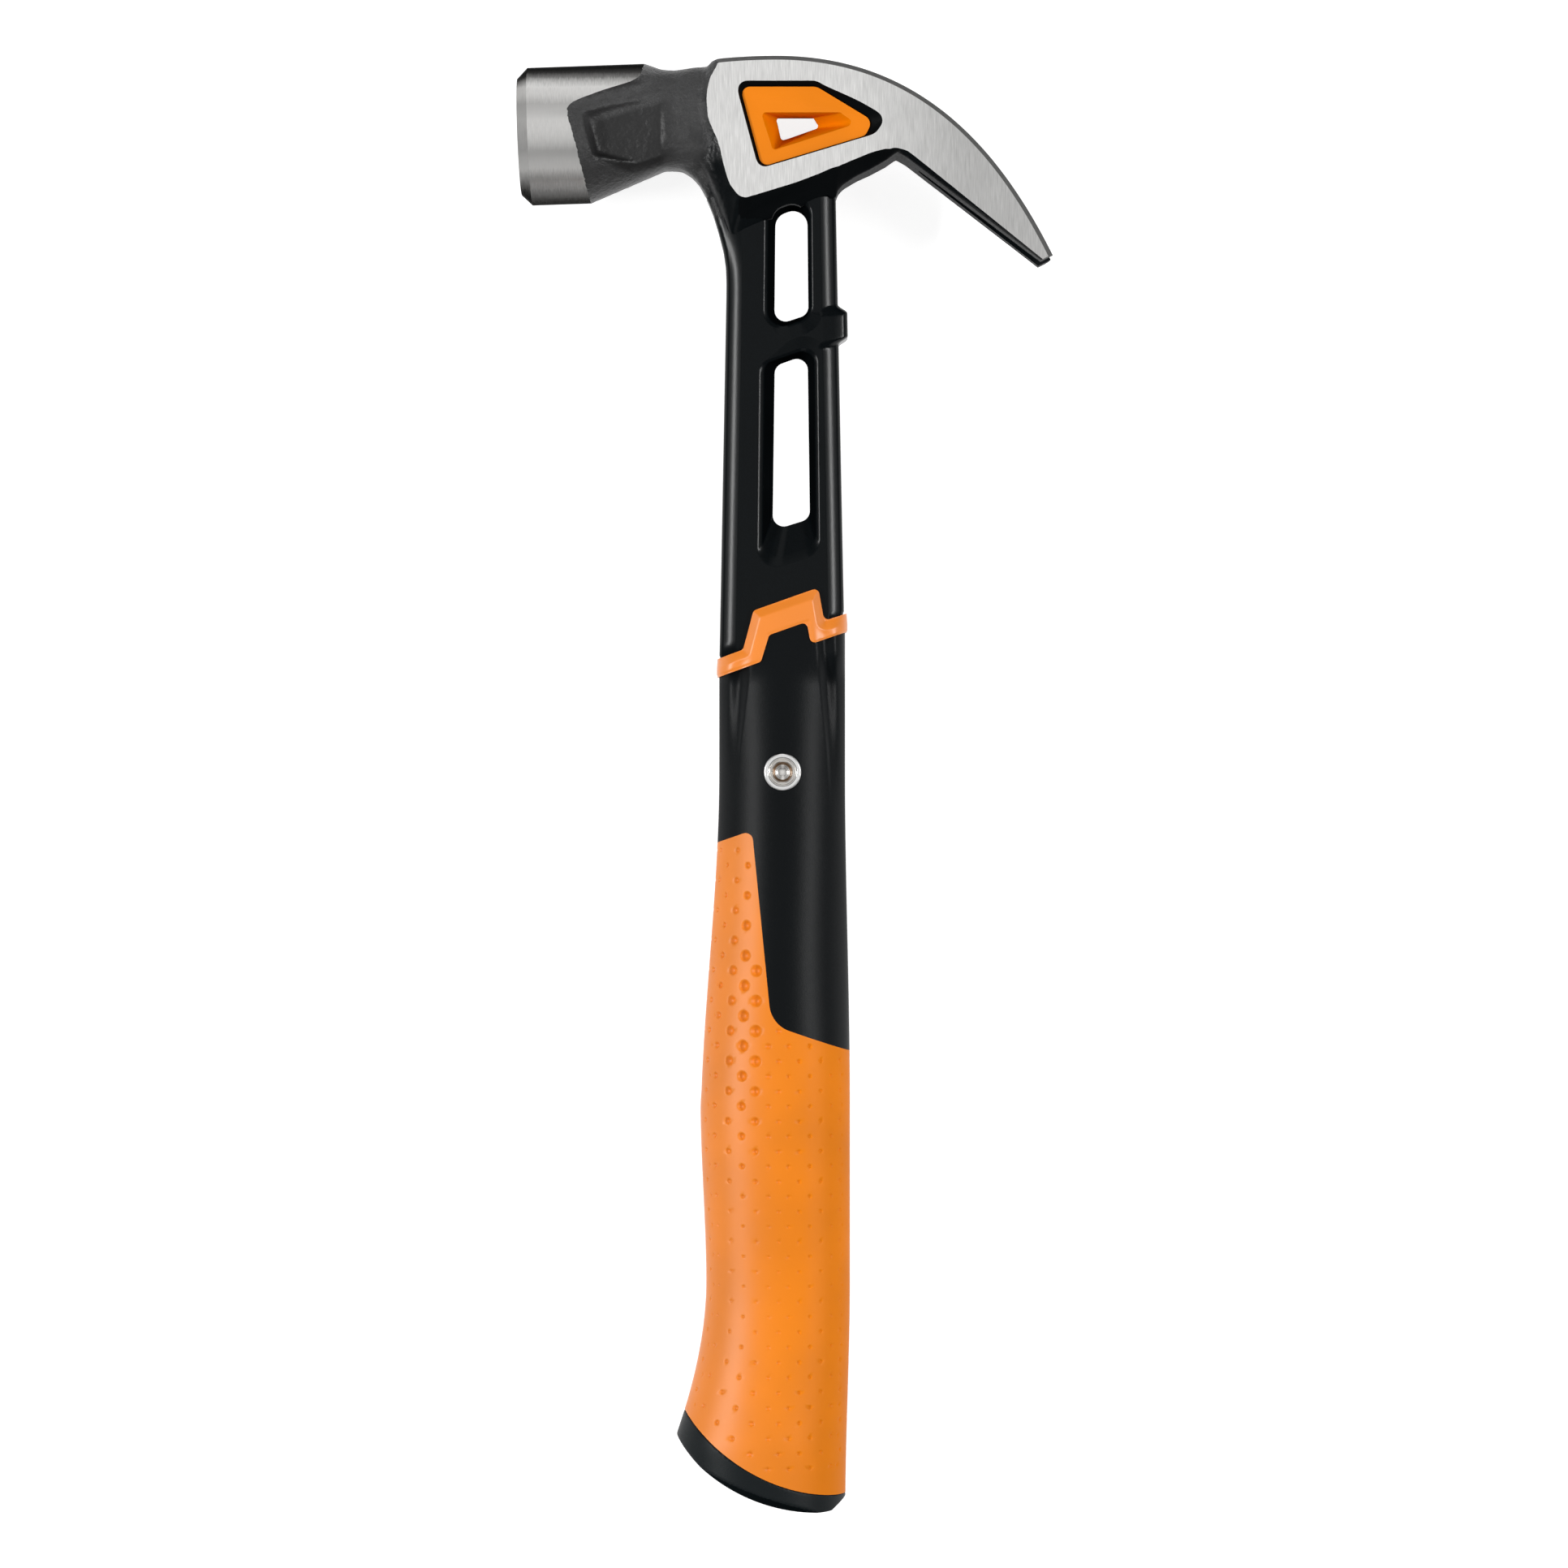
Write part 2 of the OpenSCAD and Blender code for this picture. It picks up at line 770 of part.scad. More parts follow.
module handle_core() {
  color("#1b1f21")
    place()
      difference() {
        union() {
          intersection() {
            handle_blank(handle_len - grip_heel - over, handle_len + step_low + over);
            slab(far)
              difference() {
                below(collar_low_line, step_r);
                grip_area();
              }
          }
          intersection() {
            handle_blank(cap_h / 2, handle_len - grip_toe / 2, grip_wall);
            slab(far)
              above_cap(0);
          }
          intersection() {
            handle_blank(cap_h / 2, 2 * butt_y, tenon_inset);
            slab(far)
              above_cap(tenon_len);
          }
        }
        sleeve_space();
        rivet_hole(rivet_d + rivet_fit);
        both_sides()
          translate([rivet_x, rivet_y, washer_floor])
            cylinder(d = washer_d, h = far);
      }
}

module soft_grip() {
  color("#f28a26")
    place()
      difference() {
        intersection() {
          handle_blank(cap_h / 2, handle_len - grip_toe * 0.9);
          slab(far)
            intersection() {
              grip_area();
              above_cap(0);
            }
        }
        handle_blank(cap_h / 4, handle_len - grip_toe * 0.7, grip_wall);
      }
}

module butt_cap() {
  color("#1f2426")
    place()
      difference() {
        intersection() {
          handle_blank(-cap_h / 4, 2 * butt_y);
          butt_envelope();
        }
        slab(far)
          above_cap(0);
        intersection() {
          handle_blank(cap_h / 4, 2.05 * butt_y, tenon_inset);
          slab(far)
            above_cap(tenon_len);
        }
      }
}

// Semi-tubular rivet, its factory head on the lower side
module handle_rivet() {
  shank = rivet_d / 2;
  head = rivet_head_d / 2;
  bore = shank - 0.9;
  bore_floor = rivet_seat - 6.4;
  lip = 0.8;
  color("#b9bcbe")
    place()
      translate([rivet_x, rivet_y, 0])
        rotate_extrude()
          polygon([
            [0, -rivet_seat - 1.2], [head * 0.7, -rivet_seat - 0.9], [head, -rivet_seat - 0.3],
            [head, -rivet_seat], [shank, -rivet_seat], [shank, rivet_seat],
            [head, rivet_seat], [head, rivet_seat + lip * 0.5], [head - 0.5, rivet_seat + lip],
            [bore + 0.9, rivet_seat + lip], [bore, rivet_seat - 0.4], [bore, bore_floor],
            [0, bore_floor - bore * 0.6]
          ]);
}

module rivet_washers() {
  r = washer_d / 2;
  seat = rivet_head_d / 2 + rivet_fit;
  bore = (rivet_d + rivet_fit) / 2;
  edge = 0.3;
  color("#c4c7c9")
    place()
      both_sides()
        translate([rivet_x, rivet_y, 0])
          rotate_extrude()
            polygon([
              [bore, washer_floor], [r, washer_floor], [r, washer_face - edge],
              [r - edge, washer_face], [seat, washer_face], [seat, rivet_seat], [bore, rivet_seat]
            ]);
}

head_forging();
head_insert_near();
head_insert_far();
insulation_sleeve();
handle_core();
soft_grip();
butt_cap();
handle_rivet();
rivet_washers();
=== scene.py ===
"""Curved claw hammer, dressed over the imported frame."""

import logging
import math
from contextlib import contextmanager
from dataclasses import dataclass, field
from enum import Enum, IntEnum
from typing import Callable, Iterator, Sequence

import bpy
import numpy as np
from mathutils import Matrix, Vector, kdtree


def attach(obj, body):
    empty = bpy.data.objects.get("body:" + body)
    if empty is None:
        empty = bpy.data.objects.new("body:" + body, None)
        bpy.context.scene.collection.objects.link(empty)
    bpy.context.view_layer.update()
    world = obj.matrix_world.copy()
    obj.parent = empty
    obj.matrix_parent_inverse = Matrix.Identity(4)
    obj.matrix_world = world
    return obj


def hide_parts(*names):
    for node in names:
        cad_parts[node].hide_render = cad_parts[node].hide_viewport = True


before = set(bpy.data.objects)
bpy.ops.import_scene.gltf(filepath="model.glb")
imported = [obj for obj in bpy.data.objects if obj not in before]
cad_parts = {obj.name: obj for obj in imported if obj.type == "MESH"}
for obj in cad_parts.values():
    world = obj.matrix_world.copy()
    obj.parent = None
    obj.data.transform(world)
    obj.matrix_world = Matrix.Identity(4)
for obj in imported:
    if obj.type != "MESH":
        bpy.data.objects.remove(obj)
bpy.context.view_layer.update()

LOG = logging.getLogger("claw_hammer")
MM = 0.001

Array = np.ndarray
Finish = bpy.types.Material
Piece = bpy.types.Object
Point = tuple[float, float]
Triple = tuple[float, float, float]
Cup = tuple[float, float, float, float]
Outline = list[Point]
Place = Callable[[Array, Array], Array]


class Carve(Enum):
    """What a boolean does with its tool."""

    CUT = "DIFFERENCE"
    KEEP_INSIDE = "INTERSECT"


@dataclass(frozen=True)
class Datum:
    """Place of the maker's drawing in the row frame, in millimetres.

    The drawing has x = 0 on the shaft's axis, y = 0 at the butt and z = 0 on the
    middle plane of the hammer.
    """

    mid_x: float = 0.274
    length: float = 391.4
    mid_z: float = 18.5

    def origin(self) -> Vector:
        """Gives the drawing's origin in metres in the row frame."""
        return Vector((-self.mid_x, -self.length / 2, self.mid_z)) * MM


DATUM = Datum()
TOP = DATUM.length
COLLAR_Y = 230.4
RIVET_AT = (-0.4, 198.6)
SLANT = math.tan(math.radians(19.5))
THROUGH = 40.0
FAR = 60.0


# Numbers


def mix(a: float, b: float, t: Array | float) -> Array | float:
    """Blends a into b as t goes from 0 to 1."""
    return a + (b - a) * t


def ease(t: Array) -> Array:
    """Smooth step from 0 to 1."""
    s = np.clip(t, 0.0, 1.0)
    return s * s * (3.0 - 2.0 * s)


def signed_power(v: Array, p: Array | float) -> Array:
    """Power that keeps the sign of v."""
    return np.sign(v) * np.abs(v) ** p


def rounded(points: Sequence[Point], radii: Sequence[float], n: int = 6) -> Outline:
    """Rounds the corners of a closed outline.

    Args:
        points: Corners in order.
        radii: Radius of each corner.
        n: Segments of each arc.

    Returns:
        The rounded outline.
    """
    made: Outline = []
    count = len(points)
    for i, radius in enumerate(radii):
        a, b, c = (Vector(points[(i + k) % count]) for k in (-1, 0, 1))
        u, w = (a - b).normalized(), (c - b).normalized()
        half = math.acos(max(-1.0, min(1.0, u.dot(w)))) / 2
        turn = 1 if (b - a).cross(c - b) > 0 else -1
        centre = b + (u + w).normalized() * radius / math.sin(half)
        first = b + u * radius / math.tan(half) - centre
        start = math.atan2(first.y, first.x)
        for k in range(n + 1):
            at = start + turn * (math.pi - 2 * half) * k / n
            made.append((centre.x + radius * math.cos(at), centre.y + radius * math.sin(at)))
    return made


def filled_in(outline: Outline, corner: int, count: int) -> Outline:
    """Adds points between the rounded corners of a closed outline.

    Args:
        outline: Points in order, with the same number in each corner.
        corner: Points in each corner.
        count: Points that are added on each side.

    Returns:
        The outline with more points.
    """
    made: Outline = []
    for i, a in enumerate(outline):
        made.append(a)
        if i % corner == corner - 1:
            b = outline[(i + 1) % len(outline)]
            shares = [k / (count + 1) for k in range(1, count + 1)]
            made += [(mix(a[0], b[0], t), mix(a[1], b[1], t)) for t in shares]
    return made


def spread_out(outline: Array, distance: float) -> Array:
    """Moves a closed outline outwards.

    Args:
        outline: Points in order, against the clock.
        distance: How far they move.

    Returns:
        The wider outline.
    """
    run = np.roll(outline, -1, axis=0) - np.roll(outline, 1, axis=0)
    run /= np.linalg.norm(run, axis=1)[:, None]
    return outline + distance * np.stack([run[:, 1], -run[:, 0]], axis=1)


def level(outline: Sequence[Point], z: float) -> Array:
    """Puts an outline at one height."""
    return np.array([(p[0], p[1], z) for p in outline])


def arc_points(centre: Point, radius: float, span: Point, steps: int) -> Outline:
    """Points of an arc.

    Args:
        centre: Middle of the circle.
        radius: Its radius.
        span: First and last angle in degrees.
        steps: Number of stretches.

    Returns:
        The points in order.
    """
    turns = [math.radians(mix(*span, k / steps)) for k in range(steps + 1)]
    return [(centre[0] + radius * math.cos(a), centre[1] + radius * math.sin(a)) for a in turns]


def line_distance(x: Array, y: Array, line: Sequence[Point]) -> Array:
    """Distance of points from an open line.

    Args:
        x: First coordinates.
        y: Second coordinates.
        line: Points of the line.

    Returns:
        Distance of each point from the nearest stretch of the line.
    """
    best = np.full(x.shape, 1e9)
    for (ax, ay), (bx, by) in zip(line, line[1:]):
        dx, dy = bx - ax, by - ay
        t = np.clip(((x - ax) * dx + (y - ay) * dy) / (dx * dx + dy * dy), 0.0, 1.0)
        best = np.minimum(best, np.hypot(x - ax - t * dx, y - ay - t * dy))
    return best


# Bench: modelling steps that every piece uses


def pick(*objects: Piece) -> None:
    """Selects these objects alone and makes the first one active."""
    bpy.ops.object.select_all(action="DESELECT")
    for obj in objects:
        obj.select_set(True)
    bpy.context.view_layer.objects.active = objects[0]


@contextmanager
def editing(obj: Piece, mode: str = "VERT") -> Iterator[None]:
    """Opens one object in edit mode.

    Args:
        obj: The mesh to edit.
        mode: What is picked: VERT, EDGE or FACE.
    """
    pick(obj)
    bpy.ops.object.mode_set(mode="EDIT")
    bpy.ops.mesh.select_mode(type=mode)
    yield
    bpy.ops.object.mode_set(mode="OBJECT")


@contextmanager
def editing_faces(obj: Piece, mark: Array) -> Iterator[None]:
    """Opens one object in edit mode with some of its faces picked.

    Args:
        obj: The mesh to edit.
        mark: True for each face that is picked.
    """
    with editing(obj, "FACE"):
        bpy.ops.mesh.select_all(action="DESELECT")
    obj.data.polygons.foreach_set("select", mark)
    with editing(obj, "FACE"):
        yield


def face_outwards(obj: Piece) -> None:
    """Turns every face of a closed mesh outwards.

    Args:
        obj: The mesh.
    """
    with editing(obj):
        bpy.ops.mesh.select_all(action="SELECT")
        bpy.ops.mesh.normals_make_consistent(inside=False)


def coordinates(obj: Piece) -> Array:
    """Reads the vertices of a mesh as rows.

    Args:
        obj: The mesh.

    Returns:
        One row for each vertex.
    """
    flat = np.empty(len(obj.data.vertices) * 3)
    obj.data.vertices.foreach_get("co", flat)
    return flat.reshape(-1, 3)


def move_to(obj: Piece, points: Array) -> None:
    """Writes the vertices of a mesh."""
    obj.data.vertices.foreach_set("co", np.ascontiguousarray(points, dtype=float).ravel())
    obj.data.update()


def shifted(obj: Piece, by: Sequence[float]) -> Piece:
    """Moves every vertex of a mesh by the same step."""
    move_to(obj, coordinates(obj) + np.array(by))
    return obj


def rolled(name: str, rows: int, cols: int, place: Place) -> Piece:
    """Rolls a grid into a closed tube.

    Args:
        name: Name of the piece.
        rows: Faces along the tube.
        cols: Faces round the tube.
        place: Gives the points for the shares round and along the tube.

    Returns:
        The closed piece, with flat ends.
    """
    bpy.ops.object.select_all(action="DESELECT")
    bpy.ops.mesh.primitive_grid_add(x_subdivisions=cols, y_subdivisions=rows, size=2)
    obj = bpy.context.object
    obj.name = name
    share = (coordinates(obj)[:, :2] + 1) / 2
    move_to(obj, place(share[:, 0], share[:, 1]))
    with editing(obj):
        bpy.ops.mesh.select_all(action="SELECT")
        bpy.ops.mesh.remove_doubles(threshold=1e-4)
        bpy.ops.mesh.select_all(action="SELECT")
        bpy.ops.mesh.fill_holes(sides=0)
    face_outwards(obj)
    return obj


def stacked(name: str, rings: Sequence[Array]) -> Piece:
    """Stacks rings of points into a closed piece.

    Args:
        name: Name of the piece.
        rings: Rings with the same number of points each.

    Returns:
        The closed piece.
    """
    stack = np.stack(rings)
    rows, cols = stack.shape[0] - 1, stack.shape[1]

    def place(u: Array, v: Array) -> Array:
        """Looks the points up in the stack."""
        return stack[np.rint(v * rows).astype(int), np.rint(u * cols).astype(int) % cols]

    return rolled(name, rows, cols, place)


def prism(
    name: str, outline: Sequence[Point], low: float = -THROUGH, high: float = THROUGH
) -> Piece:
    """Extrudes an outline between two heights, or right through the hammer."""
    return stacked(name, [level(outline, low), level(outline, high)])


def lathe(name: str, profile: Sequence[Point], steps: int = 96) -> Piece:
    """Spins a profile of radius and height about the Z axis.

    Args:
        name: Name of the piece.
        profile: Pairs of radius and height.
        steps: Faces round the axis.

    Returns:
        The turned piece.
    """
    line = np.array(profile)
    rows = len(profile) - 1

    def place(u: Array, v: Array) -> Array:
        """Turns the profile's points."""
        r, z = line[np.rint(v * rows).astype(int)].T
        return np.stack([r * np.cos(2 * np.pi * u), r * np.sin(2 * np.pi * u), z], axis=1)

    return rolled(name, rows, steps, place)


def finish_with(obj: Piece, kind: str, **settings: object) -> None:
    """Adds a modifier and applies it.

    Args:
        obj: The piece.
        kind: Blender's name of the modifier.
        settings: The modifier's values.
    """
    pick(obj)
    modifier = obj.modifiers.new(kind.lower(), kind)
    for key, value in settings.items():
        setattr(modifier, key, value)
    bpy.ops.object.modifier_apply(modifier=modifier.name)


def carve(body: Piece, tool: Piece, how: Carve = Carve.CUT) -> None:
    """Carves a body with a tool and takes the tool away."""
    finish_with(body, "BOOLEAN", operation=how.value, solver="EXACT", object=tool)
    bpy.data.objects.remove(tool, do_unlink=True)


def joined(name: str, parts: Sequence[Piece]) -> Piece:
    """Puts the meshes of several parts into the first one.

    Args:
        name: Name of the result.
        parts: The parts.

    Returns:
        The first part.
    """
    pick(*parts)
    bpy.ops.object.join()
    parts[0].name = name
    return parts[0]


def welded(name: str, parts: Sequence[Piece], voxel: float) -> Piece:
    """Joins overlapping parts into one skin.

    Args:
        name: Name of the piece.
        parts: Closed parts.
        voxel: Size of the skin's faces.

    Returns:
        The joined piece.
    """
    piece = joined(name, parts)
    finish_with(piece, "REMESH", mode="VOXEL", voxel_size=voxel, use_smooth_shade=True)
    return piece


def group_by(
    obj: Piece, name: str, weight: Callable[[Array], Array], steps: int = 10
) -> str:
    """Makes a vertex group from a rule.

    Args:
        obj: The piece.
        name: Name of the group.
        weight: Gives a weight for each point.
        steps: Levels that the weights are rounded to.

    Returns:
        The group's name.
    """
    group = obj.vertex_groups.new(name=name)
    levels = np.rint(np.clip(weight(coordinates(obj)), 0, 1) * steps).astype(int)
    for step in range(1, steps + 1):
        group.add(np.flatnonzero(levels == step).tolist(), step / steps, "REPLACE")
    return name


def faces_of(obj: Piece) -> tuple[Array, Array]:
    """Reads the middles and normals of a mesh's faces.

    Args:
        obj: The mesh.

    Returns:
        Rows of middles and rows of normals.
    """
    count = len(obj.data.polygons)
    middle, normal = np.empty(count * 3), np.empty(count * 3)
    obj.data.polygons.foreach_get("center", middle)
    obj.data.polygons.foreach_get("normal", normal)
    return middle.reshape(-1, 3), normal.reshape(-1, 3)


def vertex_normals(obj: Piece) -> Array:
    """Reads the normals of a mesh's vertices.

    Args:
        obj: The mesh.

    Returns:
        One row for each vertex.
    """
    flat = np.empty(len(obj.data.vertices) * 3)
    obj.data.vertices.foreach_get("normal", flat)
    return flat.reshape(-1, 3)


def paint(
    obj: Piece, finishes: Sequence[Finish], index: Array | None = None
) -> None:
    """Gives a piece its finishes.

    Args:
        obj: The piece.
        finishes: Materials in the order of the indices.
        index: Which of them each face takes, or None for the first.
    """
    obj.data.materials.clear()
    for finish in finishes:
        obj.data.materials.append(finish)
    count = len(obj.data.polygons)
    chosen = np.zeros(count, dtype=np.int32) if index is None else index.astype(np.int32)
    obj.data.polygons.foreach_set("material_index", chosen)
    obj.data.update()


def shade(obj: Piece, degrees: float) -> None:
    """Shades a piece smooth up to an angle between faces."""
    pick(obj)
    bpy.ops.object.shade_smooth_by_angle(angle=math.radians(degrees))


def seat(piece: Piece, node: str) -> None:
    """Moves a finished piece from the drawing into the frame.

    Args:
        piece: The piece in millimetres.
        node: The CAD node that it stands for.
    """
    pick(piece)
    piece.scale = (MM, MM, MM)
    piece.location = DATUM.origin()
    bpy.ops.object.transform_apply(location=True, rotation=True, scale=True)
    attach(piece, "root")
    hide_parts(node)
    LOG.info("%s: %d faces", piece.name, len(piece.data.polygons))


# Finishes


Socket = bpy.types.NodeSocket
Colour = Triple
WHITE = (1.0, 1.0, 1.0)
UNIT = (0.0, 1.0)
NOISE = (0.3, 0.7)  # range that holds most of a noise pattern


def scaled(tone: Sequence[float], share: float) -> list[float]:
    """Makes a tone darker or lighter."""
    return [share * c for c in tone]


class Nodes:
    """Node tree that is built from an empty one."""

    def __init__(self, owner: Finish | bpy.types.World) -> None:
        """Empties the owner's node tree.

        Args:
            owner: The material or the world.
        """
        owner.use_nodes = True
        self.tree = owner.node_tree
        self.tree.nodes.clear()

    def link(self, source: Socket, target: Socket) -> None:
        """Joins two sockets."""
        self.tree.links.new(source, target)

    def node(self, kind: str, **values: object) -> bpy.types.Node:
        """Adds a node and sets its properties.

        Args:
            kind: Type of the node, without its prefix.
            **values: Properties by name.

        Returns:
            The node.
        """
        made = self.tree.nodes.new("ShaderNode" + kind)
        for key, value in values.items():
            setattr(made, key, value)
        return made

    def maths(self, how: str, a: Socket, b: Socket | float) -> Socket:
        """Combines two values.

        Args:
            how: Blender's name of the operation.
            a: First value.
            b: Second value, linked or fixed.

        Returns:
            The result.
        """
        made = self.node("Math", operation=how)
        self.link(a, made.inputs[0])
        if isinstance(b, (int, float)):
            made.inputs[1].default_value = b
        else:
            self.link(b, made.inputs[1])
        return made.outputs["Value"]


class Shader(Nodes):
    """Builder of one procedural material."""

    def __init__(self, name: str) -> None:
        """Starts a material with one principled shader.

        Args:
            name: Name of the material.
        """
        self.material = bpy.data.materials.new(name)
        super().__init__(self.material)
        self.skin = self.node("BsdfPrincipled")
        out = self.node("OutputMaterial")
        self.link(self.skin.outputs["BSDF"], out.inputs["Surface"])

    def set(self, **values: object) -> None:
        """Sets the shader's own sockets; underscores stand for spaces."""
        for key, value in values.items():
            self.skin.inputs[key.replace("_", " ")].default_value = value

    def place(
        self, scale: Triple = (1, 1, 1), turn: float = 0.0, shift: Triple = (0, 0, 0)
    ) -> Socket:
        """Gives Object coordinates, scaled and turned about Z.

        Args:
            scale: Scale along each axis.
            turn: Angle about Z in degrees.
            shift: Shift in metres.

        Returns:
            The mapped coordinates.
        """
        source = self.node("TexCoord")
        mapping = self.node("Mapping")
        mapping.inputs["Scale"].default_value = scale
        mapping.inputs["Rotation"].default_value = (0, 0, math.radians(turn))
        mapping.inputs["Location"].default_value = shift
        self.link(source.outputs["Object"], mapping.inputs["Vector"])
        return mapping.outputs["Vector"]

    def along(self, axis: str, turn: float = 0.0) -> Socket:
        """Gives one Object coordinate, with the axes turned about Z.

        Args:
            axis: X, Y or Z.
            turn: Turn in degrees.

        Returns:
            The coordinate.
        """
        split = self.node("SeparateXYZ")
        self.link(self.place(turn=turn), split.inputs["Vector"])
        return split.outputs[axis]

    def noise(self, at: Socket, scale: float, detail: float = 2.0, rough: float = 0.5) -> Socket:
        """Adds a noise pattern.

        Args:
            at: Coordinates.
            scale: Features per metre.
            detail: Octaves.
            rough: Weight of the finer octaves.

        Returns:
            The pattern's value.
        """
        made = self.node("TexNoise")
        made.inputs["Scale"].default_value = scale
        made.inputs["Detail"].default_value = detail
        made.inputs["Roughness"].default_value = rough
        self.link(at, made.inputs["Vector"])
        return made.outputs["Fac"]

    def span(self, value: Socket, source: Point, target: Point = UNIT) -> Socket:
        """Maps a value from one range to another, clamped.

        Args:
            value: The value.
            source: Range that it comes from.
            target: Range that it goes to.

        Returns:
            The mapped value.
        """
        made = self.node("MapRange")
        for key, number in zip(("From Min", "From Max", "To Min", "To Max"), (*source, *target)):
            made.inputs[key].default_value = number
        self.link(value, made.inputs["Value"])
        return made.outputs["Result"]

    def tones(self, value: Socket, stops: Sequence[tuple[float, Sequence[float]]]) -> Socket:
        """Turns a value into a colour.

        Args:
            value: Share along the ramp.
            stops: Pairs of place and colour.

        Returns:
            The colour.
        """
        made = self.node("ValToRGB")
        ramp = made.color_ramp
        while len(ramp.elements) < len(stops):
            ramp.elements.new(1.0)
        for element, (at, tone) in zip(ramp.elements, stops):
            element.position = at
            element.color = (*tone, 1.0)
        self.link(value, made.inputs["Fac"])
        return made.outputs["Color"]

    def shades(self, value: Socket, tone: Sequence[float], dark: float, light: float) -> Socket:
        """Turns a noise into shades of one tone.

        Args:
            value: The noise.
            tone: Tone in the middle.
            dark: Share of it in the hollows.
            light: Share of it on the peaks.

        Returns:
            The colour.
        """
        return self.tones(value, [(NOISE[0], scaled(tone, dark)), (NOISE[1], scaled(tone, light))])

    def blend(self, share: Socket | float, a: Socket, b: Socket, how: str = "MIX") -> Socket:
        """Blends two colours.

        Args:
            share: Share of the second colour.
            a: First colour.
            b: Second colour.
            how: Blender's name of the way they blend.

        Returns:
            The blended colour.
        """
        made = self.node("Mix", data_type="RGBA", blend_type=how)
        if isinstance(share, (int, float)):
            made.inputs["Factor"].default_value = share
        else:
            self.link(share, made.inputs["Factor"])
        self.link(a, made.inputs[6])
        self.link(b, made.inputs[7])
        return made.outputs[2]

    def bump(self, height: Socket, depth: float, below: Socket | None = None) -> Socket:
        """Adds relief.

        Args:
            height: Pattern from 0 to 1.
            depth: Relief in metres.
            below: Normal of a coarser relief.

        Returns:
            The new normal.
        """
        made = self.node("Bump")
        made.inputs["Strength"].default_value = 1.0
        made.inputs["Distance"].default_value = depth
        self.link(height, made.inputs["Height"])
        if below is not None:
            self.link(below, made.inputs["Normal"])
        return made.outputs["Normal"]

    def to(self, key: str, value: Socket) -> None:
        """Links a value to the shader."""
        self.link(value, self.skin.inputs[key])


@dataclass(frozen=True)
class GroundSteel:
    """Steel ground on a belt, with fine straight lines and a painted shade towards the claw's tip.
    """

    name: str
    dark: float = 0.68
    light: float = 0.93
    tip_shade: float = 1.0
    rim: float = 1.0
    roughness: Point = (0.30, 0.46)
    turn: float = 4.0
    stretch: Triple = (1.0, 0.045, 1.0)
    fine: float = 4400.0
    broad: float = 900.0
    depth: float = 0.00001
    tint: Colour = (0.99, 0.985, 0.97)
    tip_shade_span: Point = (0.0, 0.07)

    def material(self) -> Finish:
        """Builds the material.

        Returns:
            The material.
        """
        s = Shader(self.name)
        s.set(Metallic=1.0, Specular_Tint=(*scaled(WHITE, self.rim), 1.0))
        lines = s.noise(s.place(self.stretch, self.turn), self.fine, 3.0, 0.6)
        bands = s.noise(s.place((1.0, 0.1, 1.0), self.turn), self.broad)
        both = s.maths("ADD", s.maths("MULTIPLY", lines, 0.8), s.maths("MULTIPLY", bands, 0.2))
        base = s.tones(both, [
            (0.30, scaled(self.tint, self.dark)),
            (0.50, scaled(self.tint, (self.dark + self.light) / 2)),
            (0.68, scaled(self.tint, self.light)),
        ])
        # Painted shade: the tone darkens towards the claw's tip.
        reach = s.span(s.along("X"), self.tip_shade_span)
        painted_tip_shade = s.tones(reach, [(0.25, WHITE), (0.7, scaled(WHITE, self.tip_shade))])
        s.to("Base Color", s.blend(1.0, base, painted_tip_shade, "MULTIPLY"))
        s.to("Roughness", s.span(lines, NOISE, self.roughness))
        s.to("Normal", s.bump(lines, self.depth))
        return s.material


@dataclass(frozen=True)
class TurnedSteel:
    """Steel turned on a lathe, with fine rings and painted reflection bands across its height."""

    name: str
    axis: float
    radius: float
    light: float = 1.0
    fine: float = 3400.0
    depth: float = 0.000006
    roughness: Point = (0.36, 0.42)
    tint: Colour = (1.0, 0.99, 0.97)
    # Painted reflections: tones by share of the height across the poll, dark near its top and
    # bottom, stand in for the lamps and dark surroundings that the poll reflects.
    bands: tuple[Point, ...] = (
        (0.0, 0.10), (0.05, 0.15), (0.12, 0.34), (0.20, 0.66), (0.27, 0.62), (0.32, 0.54),
        (0.42, 0.62), (0.54, 0.74), (0.66, 0.60), (0.73, 0.86), (0.79, 0.98), (0.83, 0.58),
        (0.87, 0.20), (0.91, 0.08), (0.97, 0.05),
    )

    def material(self) -> Finish:
        """Builds the material.

        Returns:
            The material.
        """
        s = Shader(self.name)
        s.set(Metallic=1.0, Specular_Tint=(*scaled(WHITE, 0.15), 1.0))
        lines = s.noise(s.place((1.0, 0.12, 0.12), 2.0), self.fine, 3.0, 0.6)
        # Painted reflections: the tone follows the height about the poll's axis.
        share = s.span(s.along("Y"), (self.axis - self.radius, self.axis + self.radius))
        wave = s.maths("ADD", share, s.span(lines, NOISE, (-0.012, 0.012)))
        bands = [(at, scaled(self.tint, self.light * tone)) for at, tone in self.bands]
        base = s.tones(wave, bands)
        s.to("Base Color", s.blend(1.0, base, s.shades(lines, WHITE, 0.92, 1.0), "MULTIPLY"))
        s.to("Roughness", s.span(lines, NOISE, self.roughness))
        s.to("Normal", s.bump(lines, self.depth))
        return s.material


